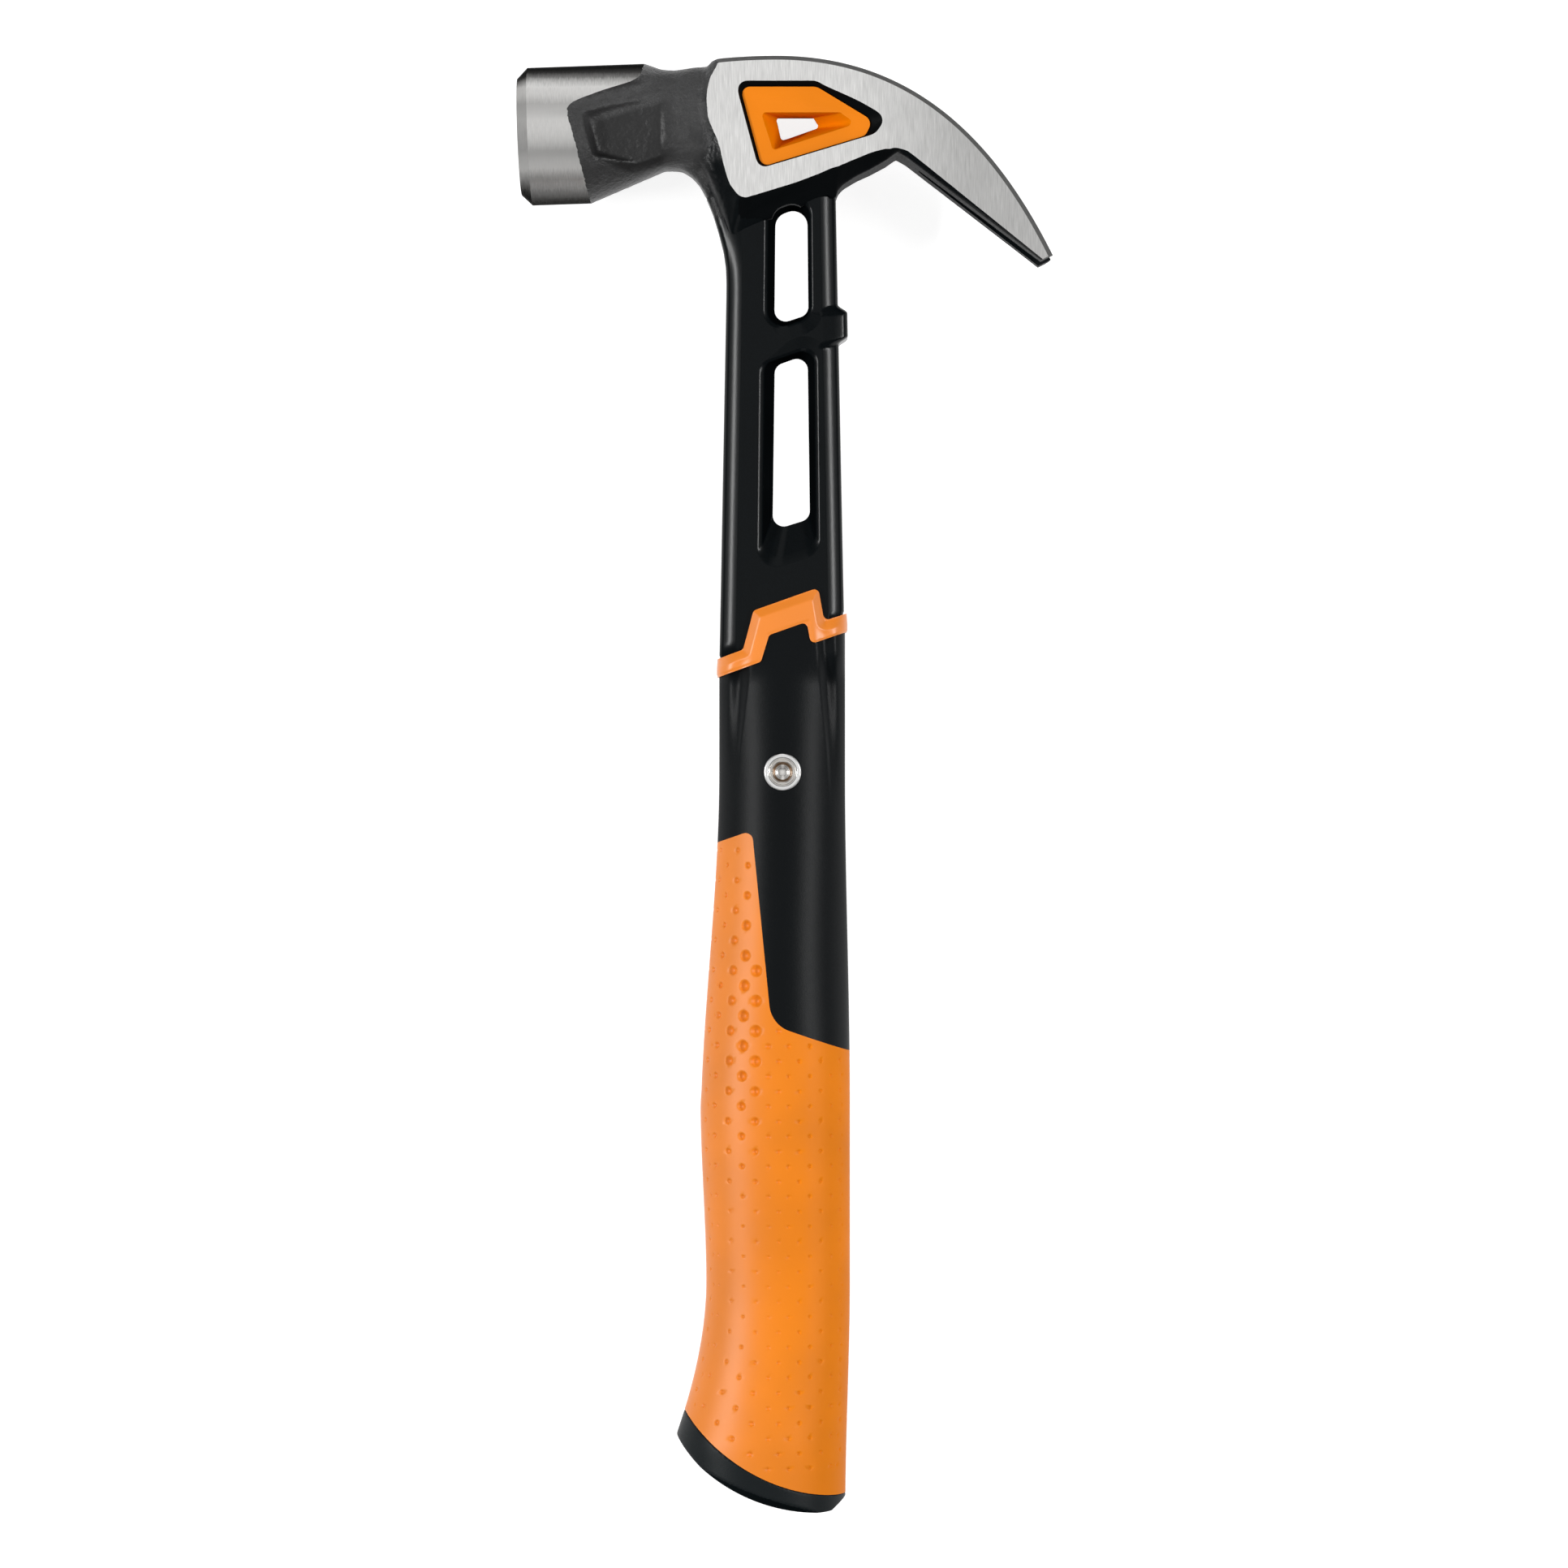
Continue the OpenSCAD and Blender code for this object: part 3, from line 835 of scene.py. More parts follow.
@dataclass(frozen=True)
class ForgedCoat:
    """Black coat: rough on the forged neck and satin on the shaft.

    The panel's edges are lines, each with its angle in degrees and the two distances in
    millimetres, from the poll's face or axis, over which the panel's painted shade comes in.
    """

    name: str = "forged_coat"
    skin_tone: Colour = (0.042, 0.042, 0.0425)
    satin_tone: Colour = (0.0012, 0.0022, 0.0028)
    # Painted shade: share of the tone left on the neck's lower side.
    neck_shade_tone: float = 0.42
    rough_until: Point = (-0.0245, -0.0165)
    rough_from: Point = (0.157, 0.147)
    # Heights in metres over which the painted shade on the neck fades out.
    neck_shade_span: Point = (0.158, 0.182)
    panel: Point = (0.0, 0.0)
    panel_edges: tuple[tuple[float, Point], ...] = (
        (2.0, (19.0, 20.6)), (2.0, (43.0, 38.0)), (107.0, (-2.6, -4.0)), (76.0, (-3.4, -2.2)),
    )
    roughness: Point = (0.38, 0.21)
    layer: Point = (0.40, 0.055)
    fine_depth: float = 0.000006
    hide_depth: float = 0.00035

    def across(self, s: Shader, turn: float, reach: Point) -> Socket:
        """Share across one edge of the panel.

        Args:
            s: The material's builder.
            turn: Angle of the edge in degrees.
            reach: Distances in millimetres from the poll's face or axis.

        Returns:
            0 at the first distance and 1 at the second.
        """
        a = math.radians(turn)
        shift = (self.panel[0] * math.cos(a) + self.panel[1] * math.sin(a)) * MM
        return s.span(s.along("X", -turn), (shift + reach[0] * MM, shift + reach[1] * MM))

    def material(self) -> Finish:
        """Builds the material.

        Returns:
            The material.
        """
        s = Shader(self.name)
        s.set(Specular_IOR_Level=0.10, Coat_Roughness=0.42)
        at = s.place()
        wavy = s.maths("ADD", s.along("X"), s.span(s.noise(at, 160.0), NOISE, (-0.003, 0.003)))
        below = s.span(s.along("Y"), self.rough_from)
        satin = s.maths("MAXIMUM", s.span(wavy, self.rough_until), below)
        edges = [self.across(s, turn, reach) for turn, reach in self.panel_edges]
        panel = edges[0]
        for edge in edges[1:]:
            panel = s.maths("MULTIPLY", panel, edge)
        mottle = s.noise(at, 420.0, 4.0, 0.65)
        skin = s.tones(mottle, [
            (0.30, scaled(self.skin_tone, 0.82)),
            (0.55, self.skin_tone),
            (0.75, scaled(self.skin_tone, 1.25)),
        ])
        # Painted shade: the sunk panel takes a darker copy of the skin's tone.
        forged = s.blend(panel, skin, s.shades(mottle, self.skin_tone, 0.36, 0.46))
        # Painted shade: the neck darkens towards its lower side.
        lit = s.span(s.along("Y"), self.neck_shade_span)
        painted_neck_shade = s.tones(lit, [(0.0, scaled(WHITE, self.neck_shade_tone)), (1.0, WHITE)])
        fine = s.noise(at, 3600.0)
        clean = s.shades(fine, self.satin_tone, 0.7, 1.4)
        s.to("Base Color", s.blend(satin, s.blend(1.0, forged, painted_neck_shade, "MULTIPLY"), clean))
        grain = s.span(fine, NOISE, (-0.02, 0.02))
        s.to("Roughness", s.maths("ADD", s.span(satin, UNIT, self.roughness), grain))
        dull = s.span(satin, UNIT, (1.0, 0.0))
        rough = s.maths("MULTIPLY", dull, s.span(panel, UNIT, (1.0, 0.3)))
        hide = s.maths("MULTIPLY", s.noise(at, 1250.0, 4.0, 0.6), rough)
        relief = s.bump(fine, self.fine_depth, s.bump(hide, self.hide_depth))
        s.to("Normal", relief)
        s.to("Coat Weight", s.span(satin, UNIT, self.layer))
        s.to("Coat Normal", relief)
        return s.material


@dataclass(frozen=True)
class Moulding:
    """Moulded plastic or rubber with a fine grain.

    The layer is a thin coat, with its weight at the front and at the back of the handle.
    """

    name: str
    tone: Colour
    roughness: Point
    grain: float
    depth: float
    specular: float
    drift: float = 0.06
    layer: Point = (0.0, 0.0)
    across: Point = (-0.014, 0.005)
    sheen: float = 0.46

    def material(self) -> Finish:
        """Builds the material.

        Returns:
            The material.
        """
        s = Shader(self.name)
        front, back = self.layer
        s.set(Specular_IOR_Level=self.specular, Coat_Weight=front, Coat_Roughness=self.sheen)
        at = s.place()
        cloud = s.noise(at, 45.0)
        grain = s.noise(at, self.grain, 2.0, 0.6)
        s.to("Base Color", s.shades(cloud, self.tone, 1 - self.drift, 1 + self.drift))
        s.to("Roughness", s.span(grain, NOISE, self.roughness))
        if front != back:
            s.to("Coat Weight", s.span(s.along("X"), self.across, self.layer))
        relief = s.bump(grain, self.depth)
        s.to("Normal", relief)
        s.to("Coat Normal", relief)
        return s.material


@dataclass(frozen=True)
class PlatedSteel:
    """Bright plated steel with turning rings about one centre."""

    name: str
    centre: Point
    tone: Colour = (0.93, 0.93, 0.92)
    roughness: Point = (0.14, 0.30)
    fine: float = 5200.0
    depth: float = 0.000012

    def material(self) -> Finish:
        """Builds the material.

        Returns:
            The material.
        """
        s = Shader(self.name)
        s.set(Metallic=1.0)
        length = s.node("VectorMath", operation="LENGTH")
        s.link(s.place((1, 1, 0), shift=(-self.centre[0], -self.centre[1], 0.0)), length.inputs[0])
        ring = s.node("TexNoise", noise_dimensions="1D")
        ring.inputs["Scale"].default_value = self.fine
        ring.inputs["Detail"].default_value = 2.0
        s.link(length.outputs["Value"], ring.inputs["W"])
        rings = ring.outputs["Fac"]
        s.to("Base Color", s.shades(rings, self.tone, 0.8, 1.05))
        s.to("Roughness", s.span(rings, NOISE, self.roughness))
        s.to("Normal", s.bump(rings, self.depth))
        return s.material


ORANGE = (0.775, 0.205, 0.001)
SLEEVE = Moulding("orange_sleeve", ORANGE, (0.36, 0.46), 2400.0, 0.00002, 0.42, layer=(0.8, 0.8))
CORE = Moulding(
    "black_handle", (0.0010, 0.0020, 0.0027), (0.30, 0.42), 3600.0, 0.00004, 0.02,
    layer=(0.19, 0.19), sheen=0.42,
)
GRIP = Moulding(
    "orange_grip", ORANGE, (0.46, 0.56), 3000.0, 0.000012, 0.16, layer=(0.95, 0.0), sheen=0.5
)
CAP = Moulding(
    "black_cap", (0.0064, 0.0090, 0.0102), (0.36, 0.48), 3800.0, 0.00003, 0.08, layer=(0.1, 0.1)
)
# Darker, matt copy of the cap's finish for the faces turned towards the butt: painted shade.
CAP_PAINTED_SHADE = Moulding(
    "black_cap_painted_shade", (0.0060, 0.0085, 0.0096), (0.40, 0.52), 3800.0, 0.00002, 0.0
)
INSERT = Moulding("orange_insert", ORANGE, (0.36, 0.46), 2200.0, 0.000014, 0.2)
POCKET = Moulding("orange_pocket", ORANGE, (0.5, 0.6), 2200.0, 0.000014, 0.0)
DRY_COAT = Moulding(
    "dry_coat", (0.0020, 0.0026, 0.0030), (0.55, 0.7), 1800.0, 0.00002, 0.0, drift=0.3
)
UNDER_COAT = Moulding(
    "under_coat", (0.0022, 0.0028, 0.0032), (0.40, 0.55), 1800.0, 0.00002, 0.025, drift=0.3
)
CHEEK = GroundSteel("ground_cheek", tip_shade=0.66)
# The crown's bevel takes a much darker copy of the ground steel, with darker edge reflections:
# painted shade.
CROWN = GroundSteel(
    "ground_crown_painted_shade", dark=0.115, light=0.195, rim=0.3, roughness=(0.58, 0.72),
    stretch=(0.05, 1.0, 1.0), turn=0.0,
)


# Handle


@dataclass
class HandleForm:
    """Sections of the handle from the butt upwards, in millimetres."""

    shank_front: float = 17.5
    shank_back: float = 16.5
    shank_t: float = 19.6
    rivet_t: float = 22.4
    palm_front: float = 22.6
    grip_back: float = 17.8
    palm_t: float = 31.0
    palm_y: float = 110.4
    waist_front: float = 21.0
    waist_t: float = 29.0
    waist_y: float = 60.4
    butt_front: float = 29.6
    butt_t: float = 36.0
    butt_y: float = 18.4
    flare_power: float = 1.8
    girth: float = 104.0
    levels: Array = field(default_factory=lambda: np.arange(-20.0, 300.0, 0.5))

    def __post_init__(self) -> None:
        """Works the sections out once and takes the kinks out of them."""
        y = self.levels
        flare = np.clip((self.waist_y - y) / (self.waist_y - self.butt_y), 0, 1) ** self.flare_power
        rise = ease((y - self.waist_y) / (self.palm_y - self.waist_y))
        above, length = y - self.palm_y, RIVET_AT[1] - self.palm_y
        slim, early = ease(above / length), ease((above + 12) / (length + 12))
        neck = ease((y - RIVET_AT[1]) / (COLLAR_Y - RIVET_AT[1]))
        low, mid = y < self.waist_y, y < self.palm_y
        self.fronts = self.soften(np.where(
            low, mix(self.waist_front, self.butt_front, flare),
            np.where(
                mid, mix(self.waist_front, self.palm_front, rise),
                mix(self.palm_front, self.shank_front, early),
            ),
        ))
        self.backs = self.soften(np.where(
            low, mix(self.grip_back - 1.2, self.grip_back, ease(y / self.waist_y)),
            mix(self.grip_back, self.shank_back, slim),
        ))
        thick = np.where(
            low, mix(self.waist_t, self.butt_t, flare),
            np.where(
                mid, mix(self.waist_t, self.palm_t, rise), mix(self.palm_t, self.rivet_t, slim)
            ),
        )
        shank = mix(self.rivet_t, self.shank_t, neck)
        self.halves = self.soften(np.where(y < RIVET_AT[1], thick, shank) / 2)

    @staticmethod
    def soften(values: Array, reach: int = 16, width: float = 5.0) -> Array:
        """Smooths a table of sizes along the handle.

        Args:
            values: Sizes at the levels.
            reach: Levels on each side that count.
            width: Levels over which their weight falls.

        Returns:
            The smoothed sizes.
        """
        weight = np.exp(-((np.arange(-reach, reach + 1) / width) ** 2))
        padded = np.pad(values, reach, mode="edge")
        return np.convolve(padded, weight / weight.sum(), mode="valid")

    def front(self, y: Array) -> Array:
        """Reach in front of the axis."""
        return np.interp(y, self.levels, self.fronts)

    def back(self, y: Array) -> Array:
        """Reach behind the axis."""
        return np.interp(y, self.levels, self.backs)

    def half(self, y: Array) -> Array:
        """Half of the thickness."""
        return np.interp(y, self.levels, self.halves)

    def powers(self, y: Array, firm: bool = False) -> tuple[Array, Array]:
        """Exponents of the section across and through the handle.

        Args:
            y: Height above the butt.
            firm: Whether the section is as square as at the collar's top.

        Returns:
            The two exponents.
        """
        square = np.ones_like(y) if firm else ease((y - COLLAR_Y + 9) / 10)
        lean = ease((y - self.palm_y) / 50)
        return mix(1.0, 0.66, square), mix(mix(1.12, 1.45, lean), 0.66, square)

    def surface(
        self, angle: Array, y: Array, proud: Array | float = 0.0,
        lift: Array | float = 0.0, firm: bool = False,
    ) -> Array:
        """Points on the handle.

        Args:
            angle: Angle round the section in radians.
            y: Height above the butt.
            proud: Distance outside the surface.
            lift: Further distance outside the sides.
            firm: Whether the section is as square as at the collar's top.

        Returns:
            Rows of points.
        """
        front, back = self.front(y) + proud, self.back(y) + proud
        half = self.half(y) + proud + lift
        across, through = self.powers(y, firm)
        x = (back - front) / 2 + (back + front) / 2 * signed_power(np.cos(angle), across)
        z = half * signed_power(np.sin(angle), through)
        return np.stack([x, y, z], axis=1)

    def height_over(self, x: Array, y: Array) -> Array:
        """Height of the surface above the middle plane at x and y.

        Args:
            x: Places across the handle.
            y: Heights.

        Returns:
            The heights above the plane.
        """
        front, back = self.front(y), self.back(y)
        share = np.clip(np.abs((x - (back - front) / 2) / ((back + front) / 2)), 0, 1)
        across, through = self.powers(y)
        return self.half(y) * np.clip(1 - share ** (2 / across), 0, 1) ** (through / 2)

    def blank(self, name: str, low: float, high: float, step: float) -> Piece:
        """Plain handle between two heights.

        Args:
            name: Name of the piece.
            low: Lower end.
            high: Upper end.
            step: Size of the faces.

        Returns:
            The closed piece.
        """
        def place(u: Array, v: Array) -> Array:
            """Points of the blank."""
            return self.surface(2 * np.pi * u, mix(low, high, v))

        return rolled(name, round((high - low) / step), round(self.girth / step), place)


@dataclass(frozen=True)
class DimplePattern:
    """Dimples of the grip: staggered rows on both sides and along both edges.

    The columns behind the middle one stand at fixed places. Those in front of it stand at
    shares of the way to the front edge. The radii follow a table of heights, and fall with
    the share of each column.
    """

    pitch: float = 4.03
    first: float = 125.2
    rows: tuple[int, int] = (-28, 17)
    behind: tuple[float, ...] = (-4.2, -1.4, 1.3, 4.1, 6.96, 9.9, 12.6, 15.0)
    ahead: tuple[float, ...] = (0.92, 0.79, 0.594, 0.394, 0.194)
    heights: tuple[float, ...] = (
        14, 26, 36, 48, 58, 79, 90, 101, 112, 123, 145, 156, 167, 178, 188
    )
    peaks: tuple[float, ...] = (
        0.9, 0.85, 0.75, 0.6, 0.48, 0.55, 0.8, 1.1, 1.3, 1.62, 1.6, 1.45, 1.1, 0.85, 0.7
    )
    shares: tuple[float, ...] = (
        0.5, 0.64, 0.86, 1.0, 1.0, 0.52, 0.45, 0.42, 0.4, 0.38, 0.38, 0.36, 0.36
    )
    least: float = 0.38
    depth: float = 0.72
    border: float = 0.5
    margin: float = 0.45
    edge_r: float = 0.4
    edge_share: float = 0.42

    def column_x(self, form: HandleForm, column: int, y: float) -> float:
        """Place of a column at a height.

        Args:
            form: The handle.
            column: Number of the column, from the front.
            y: Height.

        Returns:
            Place across the handle.
        """
        middle = self.behind[0]
        if column >= len(self.ahead):
            return self.behind[column - len(self.ahead)]
        return middle - (float(form.front(y)) + middle) * self.ahead[column]

    def radius(self, column: int, y: float) -> float:
        """Radius of a dimple in a column at a height.

        Args:
            column: Number of the column, from the front.
            y: Height.

        Returns:
            The radius.
        """
        peak = float(np.interp(y, self.heights, self.peaks))
        fading = float(np.interp(peak, (0.6, 1.3), (0.85, self.shares[column])))
        return max(self.least, peak * fading)

    def on_sides(self, form: HandleForm, area: Outline, row: int, y: float) -> Iterator[Cup]:
        """Gives one row's dimples on both sides.

        Args:
            form: The handle.
            area: Border of the grip, which the dimples keep clear of.
            row: Number of the row.
            y: Its height.

        Yields:
            Places and radii.
        """
        for column in range((row + 1) % 2, len(self.shares), 2):
            x, radius = self.column_x(form, column, y), self.radius(column, y)
            at = np.array([x]), np.array([y])
            if line_distance(*at, area)[0] >= radius + self.border:
                z = float(form.height_over(*at)[0])
                yield x, y, z, radius
                yield x, y, -z, radius

    def on_edges(self, form: HandleForm, row: int, y: float) -> Iterator[Cup]:
        """Gives one row's dimples on the front and back edges.

        Args:
            form: The handle.
            row: Number of the row.
            y: Its height.

        Yields:
            Places and radii.
        """
        through = float(form.powers(np.array(y))[1])
        for share in ((0.0,) if row % 2 else (self.edge_share, -self.edge_share)):
            lean = math.asin(abs(share) ** (1 / through))
            for angle in (math.pi - lean, lean):
                x = float(form.surface(np.array([angle]), np.array([y]))[0, 0])
                yield x, y, share * float(form.half(y)), self.edge_r

    def cups(self, form: HandleForm, area: Outline) -> list[Cup]:
        """Places every dimple.

        Args:
            form: The handle.
            area: Border of the grip.

        Returns:
            Rows of x, y, z and radius.
        """
        made: list[Cup] = []
        for row in range(*self.rows):
            y = self.first + row * self.pitch
            made += [*self.on_sides(form, area, row, y), *self.on_edges(form, row, y)]
        return made

    def press(self, piece: Piece, form: HandleForm, area: Outline) -> None:
        """Presses the dimples into a piece.

        Args:
            piece: The grip, without dimples.
            form: The handle.
            area: Border of the grip.
        """
        cups = self.cups(form, area)
        tree = kdtree.KDTree(len(cups))
        for i, cup in enumerate(cups):
            tree.insert(cup[:3], i)
        tree.balance()

        def nearest(point: Array) -> Point:
            """Distance from the nearest dimple's middle, and its radius."""
            _, i, gap = tree.find(point)
            return gap, cups[i][3]

        found = np.array([nearest(point) for point in faces_of(piece)[0]])
        with editing_faces(piece, found[:, 0] < found[:, 1] + self.margin):
            bpy.ops.mesh.subdivide(number_cuts=3)
        points = coordinates(piece)
        gap, radius = np.array([nearest(point) for point in points]).T
        sunk = self.depth * radius * np.clip(1 - (gap / radius) ** 2, 0, None)
        move_to(piece, points - vertex_normals(piece) * sunk[:, None])


@dataclass
class Handle:
    """Sleeve collar, core, grip and butt cap."""

    form: HandleForm = field(default_factory=HandleForm)
    dimples: DimplePattern = DimplePattern()
    collar_h: float = 5.0
    collar_span: Point = (218.0, 256.0)
    collar_proud: float = 0.65
    collar_chamfer: Point = (2.5, 1.5)
    collar_edges: Point = (0.45, 0.4)
    collar_rise: float = 9.5
    collar_foot: Point = (-11.0, 10.8)
    collar_head: Point = (-8.2, 9.2)
    step_low: float = 6.4
    step_foot: Point = (-6.2, 7.2)
    step_head: Point = (-4.0, 6.1)
    step_r: float = 1.4
    core_span: Point = (116.0, 250.0)
    well_r: float = 5.06
    well_mouth: float = 5.4
    well_top: Point = (12.0, 14.0)
    well_floors: tuple[tuple[int, float], ...] = ((1, 7.0), (-1, 9.0))
    grip_span: Point = (2.0, 192.0)
    grip_toe: Point = (-8.6, COLLAR_Y - 44.4)
    grip_heel: Point = (-3.4, COLLAR_Y - 100.6)
    cap_span: Point = (-2.0, 40.0)
    cap_h: float = 4.1
    cap_top_r: float = 59.2
    cap_top_x: float = 19.7
    cap_top_arc: Point = (206.0, 330.0)
    cap_r: float = 46.4
    cap_x: float = 9.0
    cap_arc: Point = (205.0, 274.6)
    cap_bevel: float = 2.8
    cap_voxel: float = 0.35
    heel_cut: float = 38.0
    flute_depth: float = 1.3
    flute_top: float = 232.0
    flute_walls: Point = (0.9, 3.2)
    flute_lines: tuple[tuple[float, float, float, float], ...] = (
        (196.0, -12.9, 1.4, 5.0), (187.0, 13.1, -2.1, -4.6)
    )

    @staticmethod
    def stepped(base: float, foot: Point, head: Point, rise: float) -> Outline:
        """Line across the handle that steps up in the middle.

        Args:
            base: Height of the line on the axis.
            foot: Where the step starts on each side.
            head: Where it ends on each side.
            rise: How high it is.

        Returns:
            Points from the front to the back.
        """
        low = [(x, base + SLANT * x) for x in (-FAR, *foot, FAR)]
        high = [(x, base + rise + SLANT * x) for x in head]
        return [*low[:2], *high, *low[2:]]

    def low_line(self) -> Outline:
        """Lower edge of the collar."""
        return self.stepped(COLLAR_Y, self.step_foot, self.step_head, self.step_low)

    def high_line(self) -> Outline:
        """Upper edge of the collar."""
        base = COLLAR_Y + self.collar_h
        return self.stepped(base, self.collar_foot, self.collar_head, self.collar_rise)

    def below(self, line: Outline) -> Outline:
        """Area below a line across the handle."""
        corners = [(-FAR, -FAR), (FAR, -FAR), *line[::-1]]
        return rounded(corners, [1, 1, 1, *[self.step_r] * 4, 1])

    def grip_area(self) -> Outline:
        """Area that the grip covers, seen from the side.

        Returns:
            The closed outline.
        """
        (toe_x, toe), (heel_x, heel) = self.grip_toe, self.grip_heel
        corners = [
            (-FAR, toe - SLANT * FAR), (toe_x, toe + SLANT * toe_x),
            (heel_x, heel - SLANT * heel_x), (FAR, heel - SLANT * FAR), (FAR, -FAR), (-FAR, -FAR),
        ]
        return rounded(corners, [1, 2, 8, 1, 1, 1], 10)

    def below_seam(self) -> Outline:
        """Area below the arc between the grip and the butt cap.

        Returns:
            The closed outline.
        """
        centre = (self.cap_top_x, self.cap_h + self.cap_top_r)
        arc = arc_points(centre, self.cap_top_r, self.cap_top_arc, 80)
        return [*arc, (arc[-1][0], -FAR), (arc[0][0], -FAR)]

    def flutes(self, points: Array, share: Array | float = 1.0) -> Array:
        """Sinks two wedge-shaped flutes into each side below the collar.

        Args:
            points: Points of the handle.
            share: Share of the full depth.

        Returns:
            The points with the flutes.
        """
        made = points.copy()
        x, y, z = points.T
        for low, foot, valley, brow in self.flute_lines:
            rise = np.clip((y - low) / (self.flute_top - low), 0.0, 1.15)
            side = np.sign(brow)
            out = side * (x - foot - valley * rise)
            wall = np.maximum(side * (brow - valley) * rise, self.flute_walls[0])
            section = 1 - np.where(out > 0, ease(out / wall), ease(-out / self.flute_walls[1]))
            made[:, 2] -= np.sign(z) * share * self.flute_depth * ease(rise * 1.3) * section
        return made

    def build_collar(self, finish: Finish) -> None:
        """Builds the collar of the insulation sleeve.

        Args:
            finish: Its finish.
        """
        high, low = self.high_line(), self.low_line()
        form = self.form

        def place(u: Array, v: Array) -> Array:
            """Surface that rises from both edges of the band.

            Args:
                u: Shares of the way round.
                v: Shares of the way up.

            Returns:
                Rows of points.
            """
            angle, y = 2 * np.pi * u, mix(*self.collar_span, v)
            x = form.surface(angle, y, firm=True)[:, 0]
            inside = line_distance(x, y, high)
            top = np.clip(inside / self.collar_chamfer[0], 0, 1)
            foot = ease(line_distance(x, y, low) / 0.8)
            upper, lower = self.collar_edges
            proud = np.minimum(
                mix(upper, self.collar_proud, top), mix(lower, self.collar_proud, foot)
            )
            lift = mix(-self.collar_chamfer[1], 0.0, top)
            points = form.surface(angle, y, proud, lift, firm=True)
            return self.flutes(points, 0.4 * ease((inside - 1) / 3))

        piece = rolled("insulation_collar", 150, 360, place)
        carve(piece, prism("band", self.below(high)), Carve.KEEP_INSIDE)
        carve(piece, prism("core", self.below(low)))
        paint(piece, [finish])
        shade(piece, 40)
        seat(piece, "insulation_sleeve")

    def build_core(self, finish: Finish) -> None:
        """Builds the black core between the collar and the grip.

        Args:
            finish: Its finish.
        """
        def place(u: Array, v: Array) -> Array:
            """Handle surface with its flutes."""
            return self.flutes(self.form.surface(2 * np.pi * u, mix(*self.core_span, v)))

        piece = rolled("handle_body", 200, 340, place)
        carve(piece, prism("top", self.below(self.low_line())), Carve.KEEP_INSIDE)
        carve(piece, prism("grip", self.grip_area()))
        shoulder, top = self.well_top
        for side, floor in self.well_floors:
            profile = [
                (0.0, floor), (self.well_r, floor), (self.well_r, shoulder),
                (self.well_mouth, top), (0.0, top),
            ]
            well = lathe("well", [(r, side * z) for r, z in profile])
            carve(piece, shifted(well, (*RIVET_AT, 0.0)))
        paint(piece, [finish])
        shade(piece, 40)
        seat(piece, "handle_core")

    def build_grip(self, finish: Finish) -> None:
        """Builds the soft grip with its dimples.

        Args:
            finish: Its finish.
        """
        piece = self.form.blank("soft_grip_skin", *self.grip_span, 0.95)
        area = self.grip_area()
        carve(piece, prism("area", area), Carve.KEEP_INSIDE)
        carve(piece, prism("cap", self.below_seam()))
        self.dimples.press(piece, self.form, area)
        paint(piece, [finish])
        shade(piece, 60)
        seat(piece, "soft_grip")

    def butt_outline(self, lift: float) -> Outline:
        """Round bottom of the butt and its cut heel.

        Args:
            lift: How far the outline is raised.

        Returns:
            The closed outline.
        """
        arc = arc_points((self.cap_x, self.cap_r + lift), self.cap_r, self.cap_arc, 40)
        rise = (FAR - arc[-1][0]) * math.tan(math.radians(self.heel_cut))
        return [*arc, (FAR, arc[-1][1] + rise), (FAR, 2 * FAR), (-FAR, 2 * FAR)]

    def build_cap(self, finish: Finish, edge: Finish) -> None:
        """Builds the butt cap with its bevelled edge.

        Args:
            finish: Finish of the sides.
            edge: Darker, matt finish of the faces turned towards the butt, on the bevel and the
                bottom: painted shade.
        """
        piece = self.form.blank("butt_cap_body", *self.cap_span, 0.9)
        half = self.form.butt_t / 2
        flat = half - 2 * self.cap_bevel
        bottom, raised = self.butt_outline(0.0), self.butt_outline(self.cap_bevel)
        outer = half + 0.5
        envelope = stacked("envelope", [
            level(raised, -outer), level(bottom, -flat), level(bottom, flat), level(raised, outer),
        ])
        carve(piece, envelope, Carve.KEEP_INSIDE)
        carve(piece, prism("seam", self.below_seam()), Carve.KEEP_INSIDE)
        finish_with(
            piece, "REMESH", mode="VOXEL", voxel_size=self.cap_voxel, use_smooth_shade=True
        )
        finish_with(piece, "SMOOTH", factor=0.5, iterations=3)
        _, normal = faces_of(piece)
        # Faces turned towards the butt take the darker, matt finish: painted shade.
        paint(piece, [finish, edge], (normal[:, 1] < -0.5) & (np.abs(normal[:, 2]) > 0.15))
        seat(piece, "butt_cap")

    def build(self) -> None:
        """Builds every piece of the handle."""
        self.build_collar(SLEEVE.material())
        self.build_core(CORE.material())
        self.build_grip(GRIP.material())
        self.build_cap(CAP.material(), CAP_PAINTED_SHADE.material())


# Rivet


